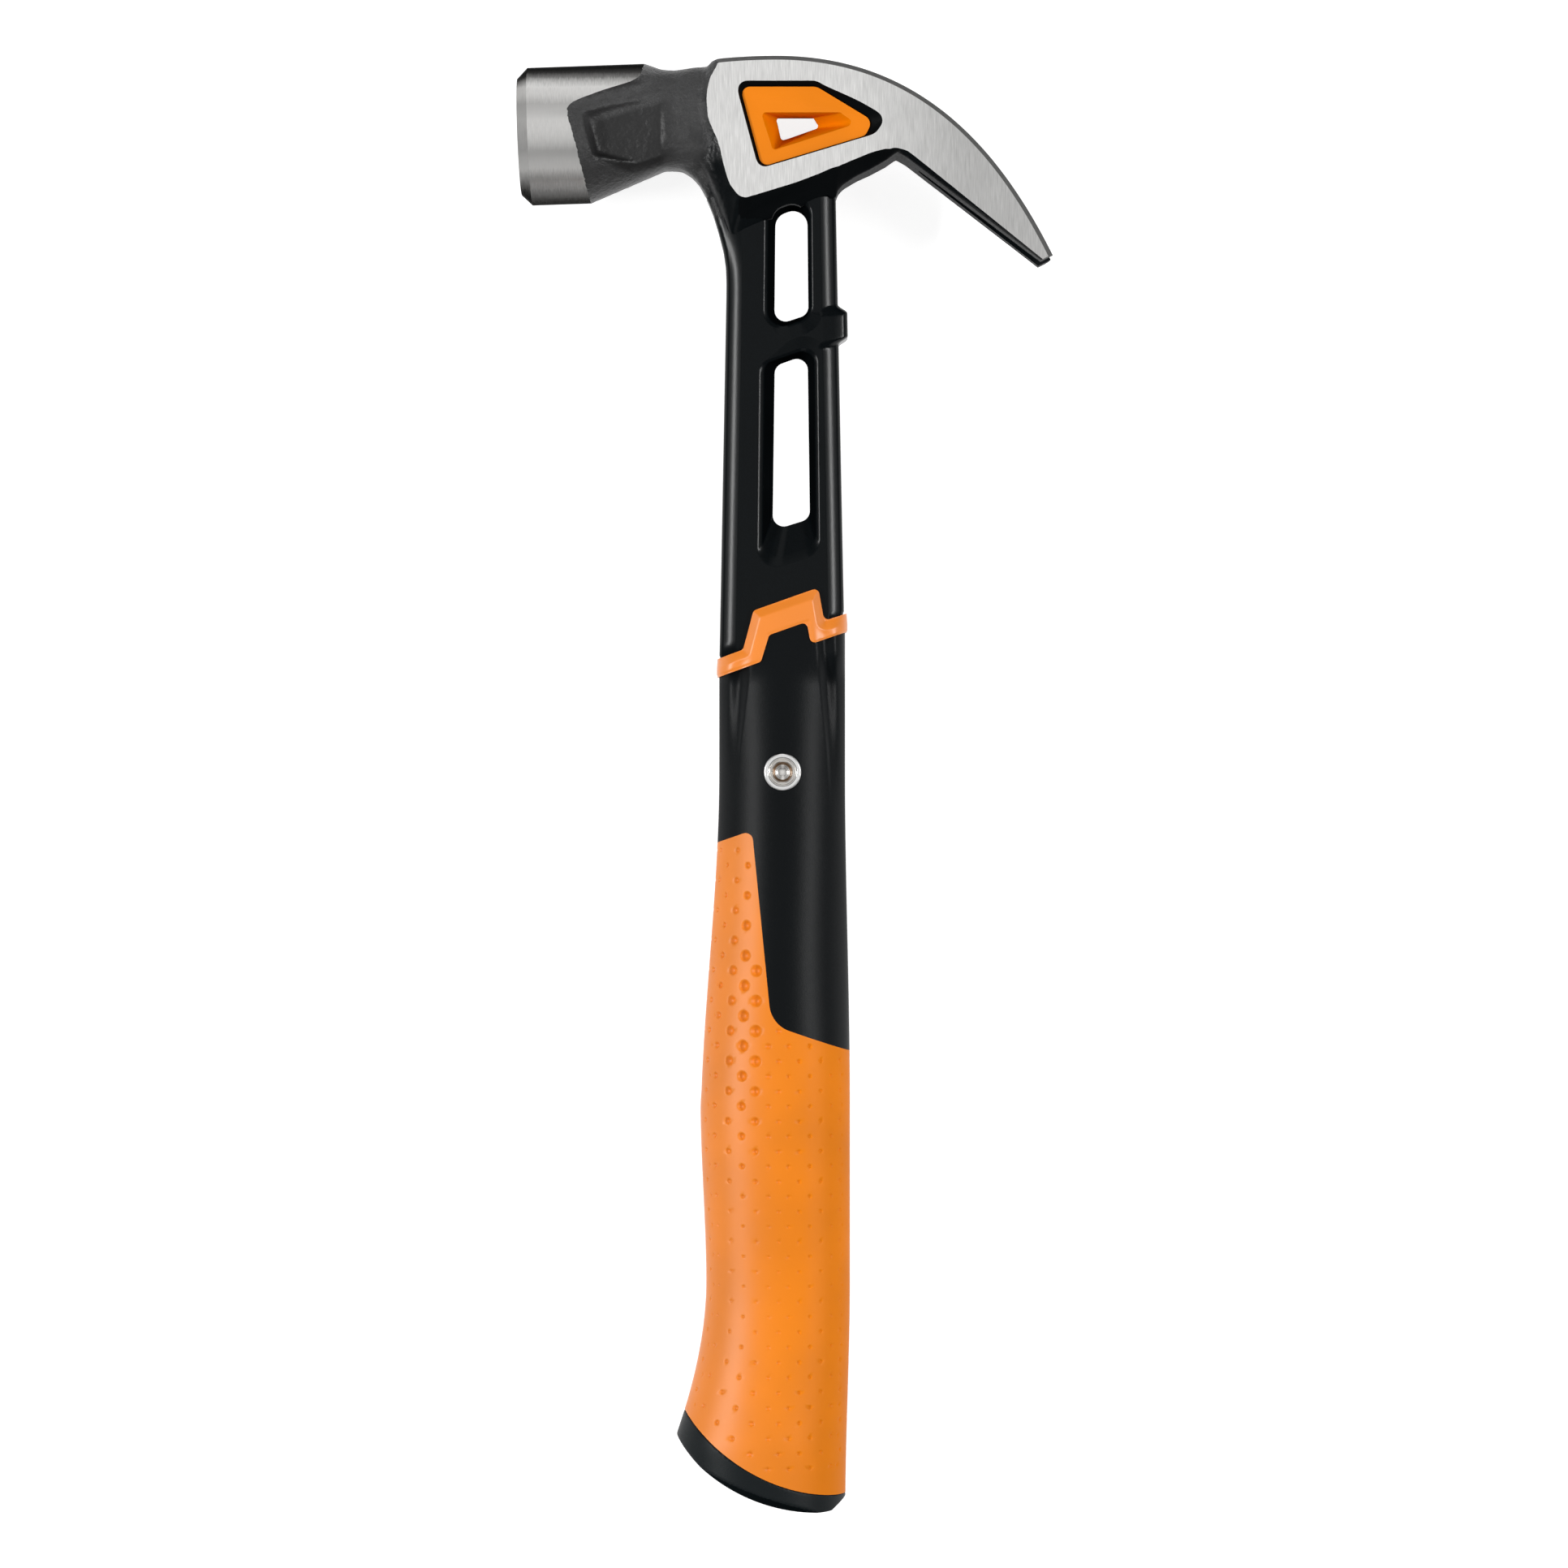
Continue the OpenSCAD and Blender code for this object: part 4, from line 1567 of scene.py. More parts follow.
@dataclass
class Rivet:
    """Semi-tubular rivet and its washers."""

    washer_r: float = 5.0
    washer_bore: float = 2.95
    seat_r: float = 3.9
    face: float = 11.5
    tail_tone: Colour = (0.82, 0.80, 0.77)
    bore_tone: Colour = (0.40, 0.28, 0.18)
    bore_wall: Point = (2.04, 2.66)
    bore_deep: float = 2.45

    def washer(self, side: int) -> Piece:
        """Turns one washer.

        Args:
            side: 1 for the near side and -1 for the far one.

        Returns:
            The washer.
        """
        bore, r, s, f = self.washer_bore, self.washer_r, self.seat_r, self.face
        profile = [
            (bore, f - 2.2), (r, f - 2.2), (r, f - 0.35), (r - 0.12, f - 0.12), (r - 0.35, f),
            (s + 0.15, f), (s + 0.03, f - 0.05), (s, f - 0.2), (s, f - 1.0), (s - 0.1, f - 1.1),
            (bore, f - 1.1), (bore, f - 2.2),
        ]
        piece = shifted(lathe("washer", [(a, side * b) for a, b in profile]), (*RIVET_AT, 0.0))
        face_outwards(piece)
        return piece

    def shape(self) -> Piece:
        """Turns the rivet: its head below, its shank and its rolled tail.

        Returns:
            The rivet.
        """
        f = self.face
        head = [
            (0.0, 0.1), (1.6, 0.02), (2.8, -0.2), (3.6, -0.6), (3.8, -0.9), (3.8, -1.1), (2.9, -1.1)
        ]
        tail = [
            (2.9, -1.1), (3.8, -1.1), (3.8, -0.24), (3.74, -0.1), (3.62, -0.1), (3.5, -0.36),
            (3.3, -0.58), (3.1, -0.6), (2.96, -0.44), (2.9, -0.2), (2.82, -0.1), (2.7, -0.14),
            (2.62, -0.4), (2.3, -1.6), (2.1, -2.4), (2.0, -2.55), (1.0, -2.9), (0.0, -3.2),
        ]
        return lathe("rivet_body", [(r, -f - z) for r, z in head] + [(r, f + z) for r, z in tail])

    def build(self) -> None:
        """Builds the washers and the rivet."""
        datum = DATUM.origin()
        centre = (datum.x + RIVET_AT[0] * MM, datum.y + RIVET_AT[1] * MM)
        plated = PlatedSteel("washer_plating", centre).material()
        tail = PlatedSteel("rivet_plating", centre, self.tail_tone).material()
        bore = PlatedSteel("rivet_bore", centre, self.bore_tone, (0.25, 0.40)).material()
        rings = joined("rivet_washer_rings", [self.washer(1), self.washer(-1)])
        paint(rings, [plated])
        shade(rings, 35)
        seat(rings, "rivet_washers")
        piece = self.shape()
        middle, _ = faces_of(piece)
        radius = np.hypot(middle[:, 0], middle[:, 1])
        inner, outer = self.bore_wall
        wall = (radius > inner) & (radius < outer) & (middle[:, 2] > self.face - self.bore_deep)
        shifted(piece, (*RIVET_AT, 0.0))
        paint(piece, [tail, bore], wall)
        shade(piece, 30)
        seat(piece, "handle_rivet")


# Head


class Face(IntEnum):
    """Finishes of the forging's faces, in the order of its materials."""

    COATED = 0
    CHEEK = 1
    TURNED = 2
    CROWN = 3
    STRUCK = 4
    UNDER = 5


@dataclass(frozen=True)
class Slot:
    """Slanted slot through the shaft, with drafted mouths and rounded lips.

    The span and the sides are its ends on the axis and its left and right side. The foot
    is wider by the spread at each side. The mouth stands out by the lip at the left,
    right, foot and head.
    """

    span: Point
    sides: Point
    spread: float
    radius: float
    lip: tuple[float, float, float, float] = (0.0, 0.0, 0.0, 0.0)
    foot: float = 3.0
    mouth_foot: float = 4.2
    waist: float = 2.2
    lip_round: float = 1.2
    steepest: float = 74.0
    proud: float = 0.9

    def outline(self, lip: Sequence[float] = (0, 0, 0, 0), foot: float | None = None) -> Outline:
        """Closed outline, against the clock.

        Args:
            lip: How far it stands out at the left, right, foot and head.
            foot: Radius of the lower corners, or None for the slot's own.

        Returns:
            Points with rounded corners.
        """
        left, right = self.sides[0] - lip[0], self.sides[1] + lip[1]
        low, high = self.span[0] - lip[2], self.span[1] + lip[3]
        corners = [
            (left, high + SLANT * left), (left - self.spread, low + SLANT * left),
            (right + self.spread, low + SLANT * right), (right, high + SLANT * right),
        ]
        bottom = self.foot if foot is None else foot
        return filled_in(rounded(corners, [self.radius, bottom, bottom, self.radius], 8), 9, 8)

    def tool(self, deep: float) -> Piece:
        """Tool for the slot.

        Args:
            deep: Half of the shaft's thickness.

        Returns:
            The tool.
        """
        hole = np.array(self.outline())
        mouth = np.array(self.outline(self.lip, self.mouth_foot))

        def drafted(z: float) -> Array:
            """Outline of the drafted wall at a height."""
            return hole + (mouth - hole) * (z - self.waist) / (deep - self.waist)

        start = deep - self.lip_round
        rings = [(z, drafted(z)) for z in np.linspace(self.waist, start, 5)[:-1]]
        for turn in (0.0, 15.0, 30.0, 45.0, 60.0, self.steepest):
            a = math.radians(turn)
            z, out = start + self.lip_round * math.sin(a), self.lip_round * (1 - math.cos(a))
            rings.append((z, spread_out(drafted(z), out)))
        top = z + self.proud
        rings.append((top, spread_out(drafted(min(top, deep)), out + self.proud * math.tan(a))))
        far = [level(flat, -z) for z, flat in reversed(rings)]
        return stacked("slot", far + [level(flat, z) for z, flat in rings])


@dataclass
class Head:
    """Forging with its poll, neck, cheeks, claw and shaft, and the insert."""

    poll_r: float = 18.5
    poll_axis: float = TOP - 21.2
    stock_r: float = 21.5
    stock_lead: float = 9.0
    stock_face: float = -3.0
    face_reach: float = 71.4
    face_bevel: float = 2.8
    face_tilt: float = 2.0
    turned_side: float = 13.4
    turned_shares: tuple[float, ...] = (-1.0, 0.0, 0.28, 0.38, 0.50, 0.58, 0.66, 0.74, 1.0)
    turned_reach: tuple[float, ...] = (18.6, 14.6, 13.4, 15.2, 21.1, 25.7, 30.9, 33.4, 34.4)
    neck_at: float = 39.0
    neck_half: float = 10.3
    neck_low: float = 10.4
    neck_high: float = 16.4
    neck_rings: tuple[tuple[float, float, float, float, float], ...] = (
        (0.0, 0.2, 0.0, 0.0, 3.0), (4.0, -0.2, 0.2, 0.0, 3.3),
        (8.0, 0.4, 0.4, 0.0, 3.6), (17.0, 0.6, 0.0, -1.0, 4.0),
    )
    panel_start: float = 17.4
    panel_depth: float = 3.5
    panel_round: float = 0.013
    panel_foot: tuple[Point, ...] = (
        (19.1, 2.9), (21.4, -6.3), (28.4, -8.3), (34.0, -10.0),
        (39, -10.2), (39, 9.4), (36.8, 7.8), (25.5, 5.1),
    )
    panel_edge: tuple[Point, ...] = (
        (17.5, 4.1), (19.9, -7.7), (27.6, -9.5), (34.1, -10.4),
        (39, -10.4), (39, 9.6), (36.9, 8.7), (24.4, 6.4),
    )
    panel_radii: tuple[float, ...] = (1.0, 1.0, 3.0, 2.0, 0.5, 0.5, 3.0, 3.0)
    cheek_half: float = 11.7
    spare: float = 0.9
    ridge_share: float = 0.42
    crown: Point = (-1.9, TOP)
    crown_r: float = 160.0
    crown_front: tuple[Point, ...] = (
        (-30.6, TOP - 2.6), (-25.9, TOP - 3.2), (-21.6, TOP - 2.4), (-18.1, TOP - 0.9)
    )
    crown_fall: float = 0.5
    crown_bevel: float = 1.8
    crown_spare: float = 2.4
    crown_low: float = 9.0
    tip: Point = (72.5, TOP - 53.7)
    tip_t: float = 1.5
    tip_spare: float = 5.0
    claw_angle: float = 63.5
    claw_lead: float = 40.0
    claw_hook: float = 29.8
    claw_ridge: float = 0.35
    claw_bands: Point = (1.6, 0.5)
    claw_drop: float = 1.4
    claw_start: Point = (36.0, TOP - 30.1)
    throat: Point = (30.4, TOP - 26.3)
    ground_edge: tuple[Point, ...] = (
        (-17.6, 389.0), (-20.0, 384.5), (-20.9, 380.0), (-20.4, 374.0), (-17.2, 365.9),
        (-14.2, 355.4), (-12.6, 353.3), (-10.3, 352.6), (9.5, 359.1), (13.2, 360.6),
        (13.8, 360.9), (15.0, 361.3), (17.4, 362.3), (20.4, 363.5), (24.0, 364.9),
        (27.4, 365.8), (29.4, 366.0), (32.2, 365.5), (35.0, 364.1),
    )
    lower_edge: tuple[Triple, ...] = (
        (-19.6, 389.5, 8.6), (-23.0, 385.5, 8.0), (-25.0, 380.0, 8.0), (-24.6, 373.0, 8.0),
        (-22.3, 363.0, 8.0), (-17.5, 352.0, 7.4), (-14.6, 343.4, 7.3), (-13.4, 343.3, 7.3),
        (11.6, 353.6, 7.1), (13.2, 352.8, 7.0), (14.0, 353.2, 7.0), (14.5, 355.0, 7.1),
        (16.0, 356.7, 7.4), (19.6, 358.9, 8.0), (23.0, 360.5, 8.6), (27.4, 362.9, 9.6),
        (*throat, 10.3), (33.0, 363.6, 10.3), (*claw_start, 10.3),
    )
    notch_len: float = 43.0
    notch_mouth: float = 12.0
    notch_root: float = 3.4
    notch_lead: float = 8.0
    shaft_half: float = 7.5
    shaft_fronts: Point = (17.4, 15.3)
    shaft_backs: Point = (16.4, 14.2)
    shaft_round: float = 5.0
    shaft_stretches: tuple[tuple[float, float, int], ...] = (
        (214.0, 302.0, 23), (302.5, 327.0, 62), (328.5, TOP - 38, 20)
    )
    facet: float = 5.0
    section_turns: tuple[tuple[float, float, int], ...] = ((0, 17, 6), (18, 33, 9), (35, 90, 11))
    tang_sink: float = 4.0
    root_span: Point = (TOP - 56, TOP - 28)
    root_back: float = -5.5
    root_sunk: Point = (0.1, 0.45)
    root_shallow: Point = (TOP - 46, TOP - 41)
    flare_falls: tuple[float, ...] = (
        29.9, 31.4, 33.0, 35.4, 38.2, 42.4, 47.4, 52.6, 57.0, 61.0, 65.0
    )
    flares: tuple[float, ...] = (13.4, 10.8, 8.9, 7.2, 5.7, 3.95, 2.35, 0.95, 0.25, 0.04, 0.0)
    upper_slot: Slot = Slot((319.87, 349.8), (-2.3, 6.3), 0.3, 3.9, (2.2, 0.4, 1.4, 2.0))
    lower_slot: Slot = Slot((264.7, 309.4), (-2.5, 6.4), 0.6, 3.0, (3.4, 1.9, 9.8, 0.8))
    head_slot: Slot = Slot((319.87, 350.8), (-3.3, 6.6), 0.3, 4.4)
    slot_zone: Point = (-6.6, 10.6)
    belt_span: Point = (309.67, 318.27)
    belt_proud: float = 2.5
    belt_lift: float = 0.8
    belt_soft: float = 2.4
    insert_sink: float = 1.2
    window_at: Point = (-13.2, TOP - 7.4)
    window: Point = (40.8, 23.7)
    voxel: float = 0.5

    def tilt(self) -> Point:
        """Cosine and sine of the poll's tilt."""
        turn = math.radians(self.face_tilt)
        return math.cos(turn), math.sin(turn)

    def on_poll(self, u: Array, v: Array, z: Array) -> Array:
        """Moves points from the poll's own axis to the drawing.

        Args:
            u: Distance from the striking face.
            v: Height above the poll's axis.
            z: Height above the middle plane.

        Returns:
            Rows of points.
        """
        c, s = self.tilt()
        x, y = -self.face_reach + u * c - v * s, self.poll_axis + u * s + v * c
        return np.stack([x, y, z], axis=1)

    def neck_blank(self, sides: int = 96, steps: int = 6) -> Piece:
        """Forges the poll and the neck, with spare stock round the poll.

        Args:
            sides: Faces round the neck.
            steps: Faces between two sections.

        Returns:
            The neck with its panels.
        """
        a = 2 * np.pi * np.arange(sides) / sides
        sin, cos = np.sin(a), np.cos(a)

        def round_section(u: Array | float, radius: float) -> Array:
            """Round section of the poll."""
            return np.stack([np.broadcast_to(u, sides), radius * sin, radius * cos], axis=1)

        def neck(on: float, up: float, down: float, out: float, power: float) -> Array:
            """Rounded section of the neck.

            Args:
                on: Distance along the neck.
                up: Growth above.
                down: Growth below.
                out: Growth at the sides.
                power: How square the section is.

            Returns:
                Rows of points.
            """
            high, low, half = self.neck_high + up, self.neck_low + down, self.neck_half + out
            v = (high - low) / 2 + (high + low) / 2 * signed_power(sin, 2 / power)
            z = half * signed_power(cos, 2 / power)
            return np.stack([np.full(sides, self.neck_at + on), v, z], axis=1)

        sections = [neck(*ring) for ring in self.neck_rings]
        edge = round_section(np.interp(sin, self.turned_shares, self.turned_reach), self.poll_r)
        lead = (self.stock_lead / (self.neck_at - edge[:, 0]))[:, None]
        stock = edge + (edge - sections[0]) * lead
        rings = [round_section(self.stock_face, self.stock_r), stock, edge, *sections]
        fine = [mix(p, q, k / steps) for p, q in zip(rings, rings[1:]) for k in range(steps)]
        piece = stacked("neck", [self.on_poll(*ring.T) for ring in [*fine, rings[-1]]])
        for side in (1, -1):
            carve(piece, self.panel(side))
        return piece

    def panel(self, side: int) -> Piece:
        """Tool for the panel sunk into one side of the neck.

        Args:
            side: 1 for the near side and -1 for the far one.

        Returns:
            The tool.
        """
        low = np.array(rounded(self.panel_foot, self.panel_radii))
        high = np.array(rounded(self.panel_edge, self.panel_radii))
        deep, length = self.panel_depth, self.neck_at - self.turned_side
        share = (self.panel_start - self.turned_side) / length
        end = self.neck_half + 0.3
        skin = mix(self.poll_r, self.neck_half, share)
        fall = (skin - deep - end) / (self.neck_at - self.panel_start)
        rings = []
        for rise in (0.0, deep, 3 * deep):
            u, v = (low + (high - low) * rise / deep).T
            axis = (self.neck_high - self.neck_low) / 2 * (u - self.turned_side) / length
            floor = end + (self.neck_at - u) * fall - self.panel_round * (v - axis) ** 2 + rise
            rings.append(self.on_poll(u, v, side * floor))
        return stacked("panel", rings)

    def claw_curve(self, t: float) -> Vector:
        """Point on the outer edge of the claw.

        Args:
            t: Share of the way from the crown to the tip.

        Returns:
            The point.
        """
        a, d = Vector(self.crown), Vector(self.tip)
        b = a + Vector((self.claw_lead, 0.0))
        c = d - self.claw_hook * self.tip_run()
        s = 1 - t
        return s ** 3 * a + 3 * s * s * t * b + 3 * s * t * t * c + t ** 3 * d

    def tip_run(self) -> Vector:
        """Direction of the claw at its tip."""
        turn = math.radians(self.claw_angle)
        return Vector((math.cos(turn), -math.sin(turn)))

    def tip_low(self) -> Vector:
        """Lower corner of the claw's tip."""
        run = self.tip_run()
        return Vector(self.tip) + self.tip_t * Vector((run.y, -run.x))

    def crown_points(self, reaches: Sequence[float]) -> list[Vector]:
        """Points on the arc over the cheeks."""
        return [Vector((x, TOP - (x - self.crown[0]) ** 2 / (2 * self.crown_r))) for x in reaches]

    def crown_line(self, inward: float) -> Outline:
        """Outer edge of the cheeks and the claw.

        Args:
            inward: Distance inside the edge.

        Returns:
            Points from the neck to the tip.
        """
        front = [Vector(p) for p in self.crown_front]
        arc = self.crown_points(np.linspace(-16.5, self.crown[0], 10)[:-1])
        line = front + arc + [self.claw_curve(k / 60) for k in range(61)]
        made: Outline = []
        for i, point in enumerate(line):
            run = (line[min(i + 1, len(line) - 1)] - line[max(i - 1, 0)]).normalized()
            made.append((point.x + run.y * inward, point.y - run.x * inward))
        return made

    def inner_side(self) -> tuple[Vector, Vector]:
        """Directions along the claw's inner edge and square to it."""
        run = (self.tip_low() - Vector(self.throat)).normalized()
        return run, Vector((-run.y, run.x))

    def head_edges(self, steps: int = 8) -> tuple[Array, Array]:
        """Outlines of the ground cheeks and of the stock below them.

        Args:
            steps: Points along the inner edge of the claw.

        Returns:
            Rows of x and y, and rows of x, y and z.
        """
        _, inner = self.inner_side()
        beyond = self.tip_run() * self.tip_spare
        ground, lower = [*self.ground_edge], [*self.lower_edge]
        for k in range(1, steps + 1):
            p = Vector(self.claw_start).lerp(self.tip_low() + beyond, k / steps)
            ground.append(tuple(p + inner * mix(*self.claw_bands, k / steps)))
            lower.append((*p, self.cheek_half - self.claw_drop))
        outer = [Vector(self.tip) + beyond, *(self.claw_curve(k / 20) for k in range(20, -1, -1))]
        outer += self.crown_points((-8.0, -14.0, -16.5))
        for i, p in enumerate(outer):
            ahead = outer[min(i + 1, len(outer) - 1)] - outer[max(i - 1, 0)]
            raised = p + Vector((ahead.y, -ahead.x)).normalized() * self.crown_spare
            ground.append(tuple(raised))
            lower.append((*raised, self.crown_low))
        return np.array(ground), np.array(lower)

    def head_blank(self) -> Piece:
        """Forges the cheeks and the claw, with spare stock on the ground sides.

        Returns:
            The blank.
        """
        ground, lower = self.head_edges()
        lead = (self.spare / (self.cheek_half - lower[:, 2]))[:, None]
        flat = ground + (ground - lower[:, :2]) * lead
        top = np.column_stack([flat, np.full(len(flat), self.cheek_half + self.spare)])
        ridge = mix(lower, top, self.ridge_share)
        claw = (lower[:, 0] > 33) & (lower[:, 2] > 10)
        ridge[claw, :2] -= np.array(self.inner_side()[1]) * self.claw_ridge
        near = [lower, ridge, top]
        far = [ring * np.array([1, 1, -1]) for ring in reversed(near)]
        piece = stacked("head", far + near)
        carve(piece, self.window_tool())
        return piece

    def in_window(self, shares: Sequence[Point]) -> Outline:
        """Points in shares of the window's width and height."""
        (x, y), (width, height) = self.window_at, self.window
        return [(x + a * width, y - b * height) for a, b in shares]

    def rim(self) -> Outline:
        """Rim of the window at the ground cheek."""
        corners = [(0, 0), (0.157, 1), (0.926, 0.6), (1, 0.405), (0.534, 0)]
        return rounded(self.in_window(corners), [2.4, 2.4, 2.6, 2.6, 4])

    def wall(self) -> Outline:
        """Wall that holds the insert."""
        corners = [(0.034, 0.063), (0.176, 0.97), (0.858, 0.616), (0.907, 0.447), (0.539, 0.063)]
        return rounded(self.in_window(corners), [2, 2.2, 2.2, 2.4, 4])

    def window_tool(self) -> Piece:
        """Tool for the window through the head.

        Returns:
            The tool.
        """
        rim, wall = np.array(self.rim()), np.array(self.wall())
        face = self.cheek_half - self.insert_sink - 0.4
        wide = rim + (rim - wall) * (self.spare + 0.5) / (self.cheek_half - face)
        deep = self.cheek_half + self.spare + 0.5
        near = [level(wall, face), level(wide, deep)]
        return stacked("window", [level(wide, -deep), level(wall, -face), *near])

    def shaft_edges(self, y: float) -> Point:
        """Front and back reach of the shaft at a height."""
        share = (y - COLLAR_Y) / (TOP - 50 - COLLAR_Y)
        return mix(*self.shaft_fronts, share), mix(*self.shaft_backs, share)

    def flare(self, y: float) -> float:
        """How far the front of the shaft is drawn out towards the neck."""
        return float(np.interp(TOP - y, self.flare_falls, self.flares))

    def shaft_section(
        self, y: float, front: float, back: float, half: float, flare: float
    ) -> Array:
        """Section of the shaft, flat at the sides and soft at its corners.

        Args:
            y: Height of the section.
            front: Reach in front of the axis.
            back: Reach behind the axis.
            half: Half of the thickness.
            flare: How far the front corner is drawn out.

        Returns:
            Points of the ring.
        """
        turns = np.concatenate([np.linspace(*leg) for leg in self.section_turns])
        bend = np.where((turns > 17.5) & (turns < 33.5), self.facet, 1.0)
        lean = np.radians(turns)
        step = np.diff(lean) * (bend[1:] + bend[:-1]) / 2
        between = (lean[1:] + lean[:-1]) / 2
        out = np.concatenate([[0.0], np.cumsum(step * np.cos(between))])
        down = np.concatenate([[0.0], np.cumsum(step * np.sin(between))])
        size = self.shaft_round / out[-1]
        out, down = out * size, down * size
        wide = 1 + flare / self.shaft_round
        x_back, x_front = back - out[-1] + out, wide * (out[-1] - out) - front - flare
        x = np.concatenate([x_back[::-1], np.linspace(x_back[0], x_front[0], 17)[1:-1], x_front])
        z = np.concatenate([half - down[::-1], np.full(15, half), half - down])
        upper = np.column_stack([x, np.full(x.size, y), z])
        return np.concatenate([upper, upper[::-1] * np.array([1, 1, -1])])

    def belted(self, ring: Array) -> Array:
        """Raises the belt between the slots on one section of the shaft.

        Args:
            ring: Points of the section.

        Returns:
            The section with the belt.
        """
        made = ring.copy()
        x, y, z = ring.T
        low, high = self.belt_span
        soft = self.belt_soft
        above = ease((y - low - SLANT * x) / soft + 0.5)
        under = ease((high + SLANT * x - y) / soft + 0.5)
        share = above * under
        back = ease((x - x.max() + self.shaft_round) / self.shaft_round)
        made[:, 0] += self.belt_proud * share * back
        made[:, 2] += np.sign(z) * self.belt_lift * share * ease((x + 5) / 8)
        return made

    def flared_root(self) -> Piece:
        """Forges the flare from the front of the shaft into the neck.

        Returns:
            The blank.
        """
        rings = []
        for y in map(float, np.linspace(*self.root_span, 36)):
            front, _ = self.shaft_edges(y)
            sunk = float(np.interp(y, self.root_shallow, self.root_sunk[::-1]))
            half = self.shaft_half - sunk
            rings.append(self.shaft_section(y, front - sunk, self.root_back, half, self.flare(y)))
        return stacked("root", rings)

    def build_shaft(self, coat: Finish, dry: Finish) -> None:
        """Forges the shaft below the head.

        Args:
            coat: The black coat.
            dry: The thinner coat inside the slots.
        """
        rings = []
        for y in map(float, np.concatenate([np.linspace(*part) for part in self.shaft_stretches])):
            ring = self.shaft_section(y, *self.shaft_edges(y), self.shaft_half, self.flare(y))
            sunk = self.tang_sink * ease((COLLAR_Y + 4 + SLANT * ring[:, 0] - y) / 5)
            ring[:, 0] *= 1 - sunk / 18
            ring[:, 2] *= 1 - sunk / 14
            rings.append(self.belted(ring))
        piece = stacked("forged_shaft", rings)
        for slot in (self.upper_slot, self.lower_slot):
            carve(piece, slot.tool(self.shaft_half))
        middle, normal = faces_of(piece)
        x, y, _ = middle.T
        left, right = self.slot_zone
        inside = (x > left) & (x < right) & (y > self.lower_slot.span[0] - 9)
        paint(piece, [coat, dry], inside & (np.abs(normal[:, 2]) < 0.6))
        shade(piece, 32)
        finish_with(piece, "WEIGHTED_NORMAL", keep_sharp=True, weight=80)
        seat(piece, "head_forging")

    def crown_tool(self) -> Piece:
        """Tool that grinds the crown and bevels its edges.

        Returns:
            The tool.
        """
        low, run = self.tip_low(), self.tip_run()
        end = low + (low - Vector(self.tip)).normalized() * 6
        half, bevel = self.cheek_half, self.crown_bevel
        rings = []
        for z, inward in (
            (half + 3, bevel + 3), (half, bevel), (half - bevel, self.crown_fall), (half / 2, 0.1)
        ):
            line = self.crown_line(inward)
            corners = [(110.0, TOP - 60), (110.0, TOP + 40), (line[0][0], TOP + 40)]
            tail = [Vector(line[-1]).lerp(end, 0.5), end, end + run * 30]
            rings.append((z, [*line, *map(tuple, tail), *corners]))
        far = [level(line, -z) for z, line in rings]
        return stacked("crown", far + [level(line, z) for z, line in reversed(rings)])

    def poll_tool(self) -> Piece:
        """Tool that turns the poll and its face.

        Returns:
            The tool.
        """
        r, b = self.poll_r, self.face_bevel
        profile = [(0, -10), (0, 0), (r - b, 0), (r, b), (r, 41), (40, 41), (40, -10), (0, -10)]
        piece = lathe("turning", profile, 192)
        x, y, z = coordinates(piece).T
        move_to(piece, self.on_poll(z, x, y))
        face_outwards(piece)
        return piece

    def notch_tool(self) -> Piece:
        """Tool for the tapered nail notch.

        Returns:
            The tool.
        """
        lead, length, root = self.notch_lead, self.notch_len, self.notch_root / 2
        mouth = self.notch_mouth / 2 + lead * (self.notch_mouth / 2 - root) / length
        corners = [(lead, mouth), (-length, root), (-length, -root), (lead, -mouth)]
        flat = rounded(corners, [0.5, root * 0.9, root * 0.9, 0.5])
        run, side = self.inner_side()
        rings = []
        for deep in (-30.0, 60.0):
            spine = [Vector(self.tip) + run * p + side * deep for p, _ in flat]
            rings.append(np.array([(*at, q) for at, (_, q) in zip(spine, flat)]))
        return stacked("notch", rings)

    def grind(self, piece: Piece) -> None:
        """Grinds both cheeks flat.

        Args:
            piece: The forging.
        """
        for side in (1, -1):
            middle, _ = faces_of(piece)
            mark = (middle[:, 0] > -28) & (middle[:, 2] * side > 6) & (middle[:, 1] > TOP - 70)
            with editing_faces(piece, mark):
                bpy.ops.mesh.bisect(
                    plane_co=(0, 0, side * self.cheek_half), plane_no=(0, 0, side),
                    use_fill=True, clear_outer=True, clear_inner=False, threshold=1e-5,
                )

    @staticmethod
    def fillets(points: Array) -> Array:
        """Weight of the forged fillets between the neck, the cheeks and the shaft.

        Args:
            points: Points of the forging.

        Returns:
            One weight for each point.
        """
        x, y, z = points.T
        neck = ease((x + 34) / 5) * ease((-9 - x) / 6) * ease((y - 338) / 6)
        return neck * (np.abs(z) < 12.2)

    @staticmethod
    def forged_skin(points: Array) -> Array:
        """Weight of the rough forged skin."""
        x, y, _ = points.T
        return np.maximum(ease((-13 - x) / 6) * ease((y - 338) / 8), 0.3 * ease((y - 346) / 8))

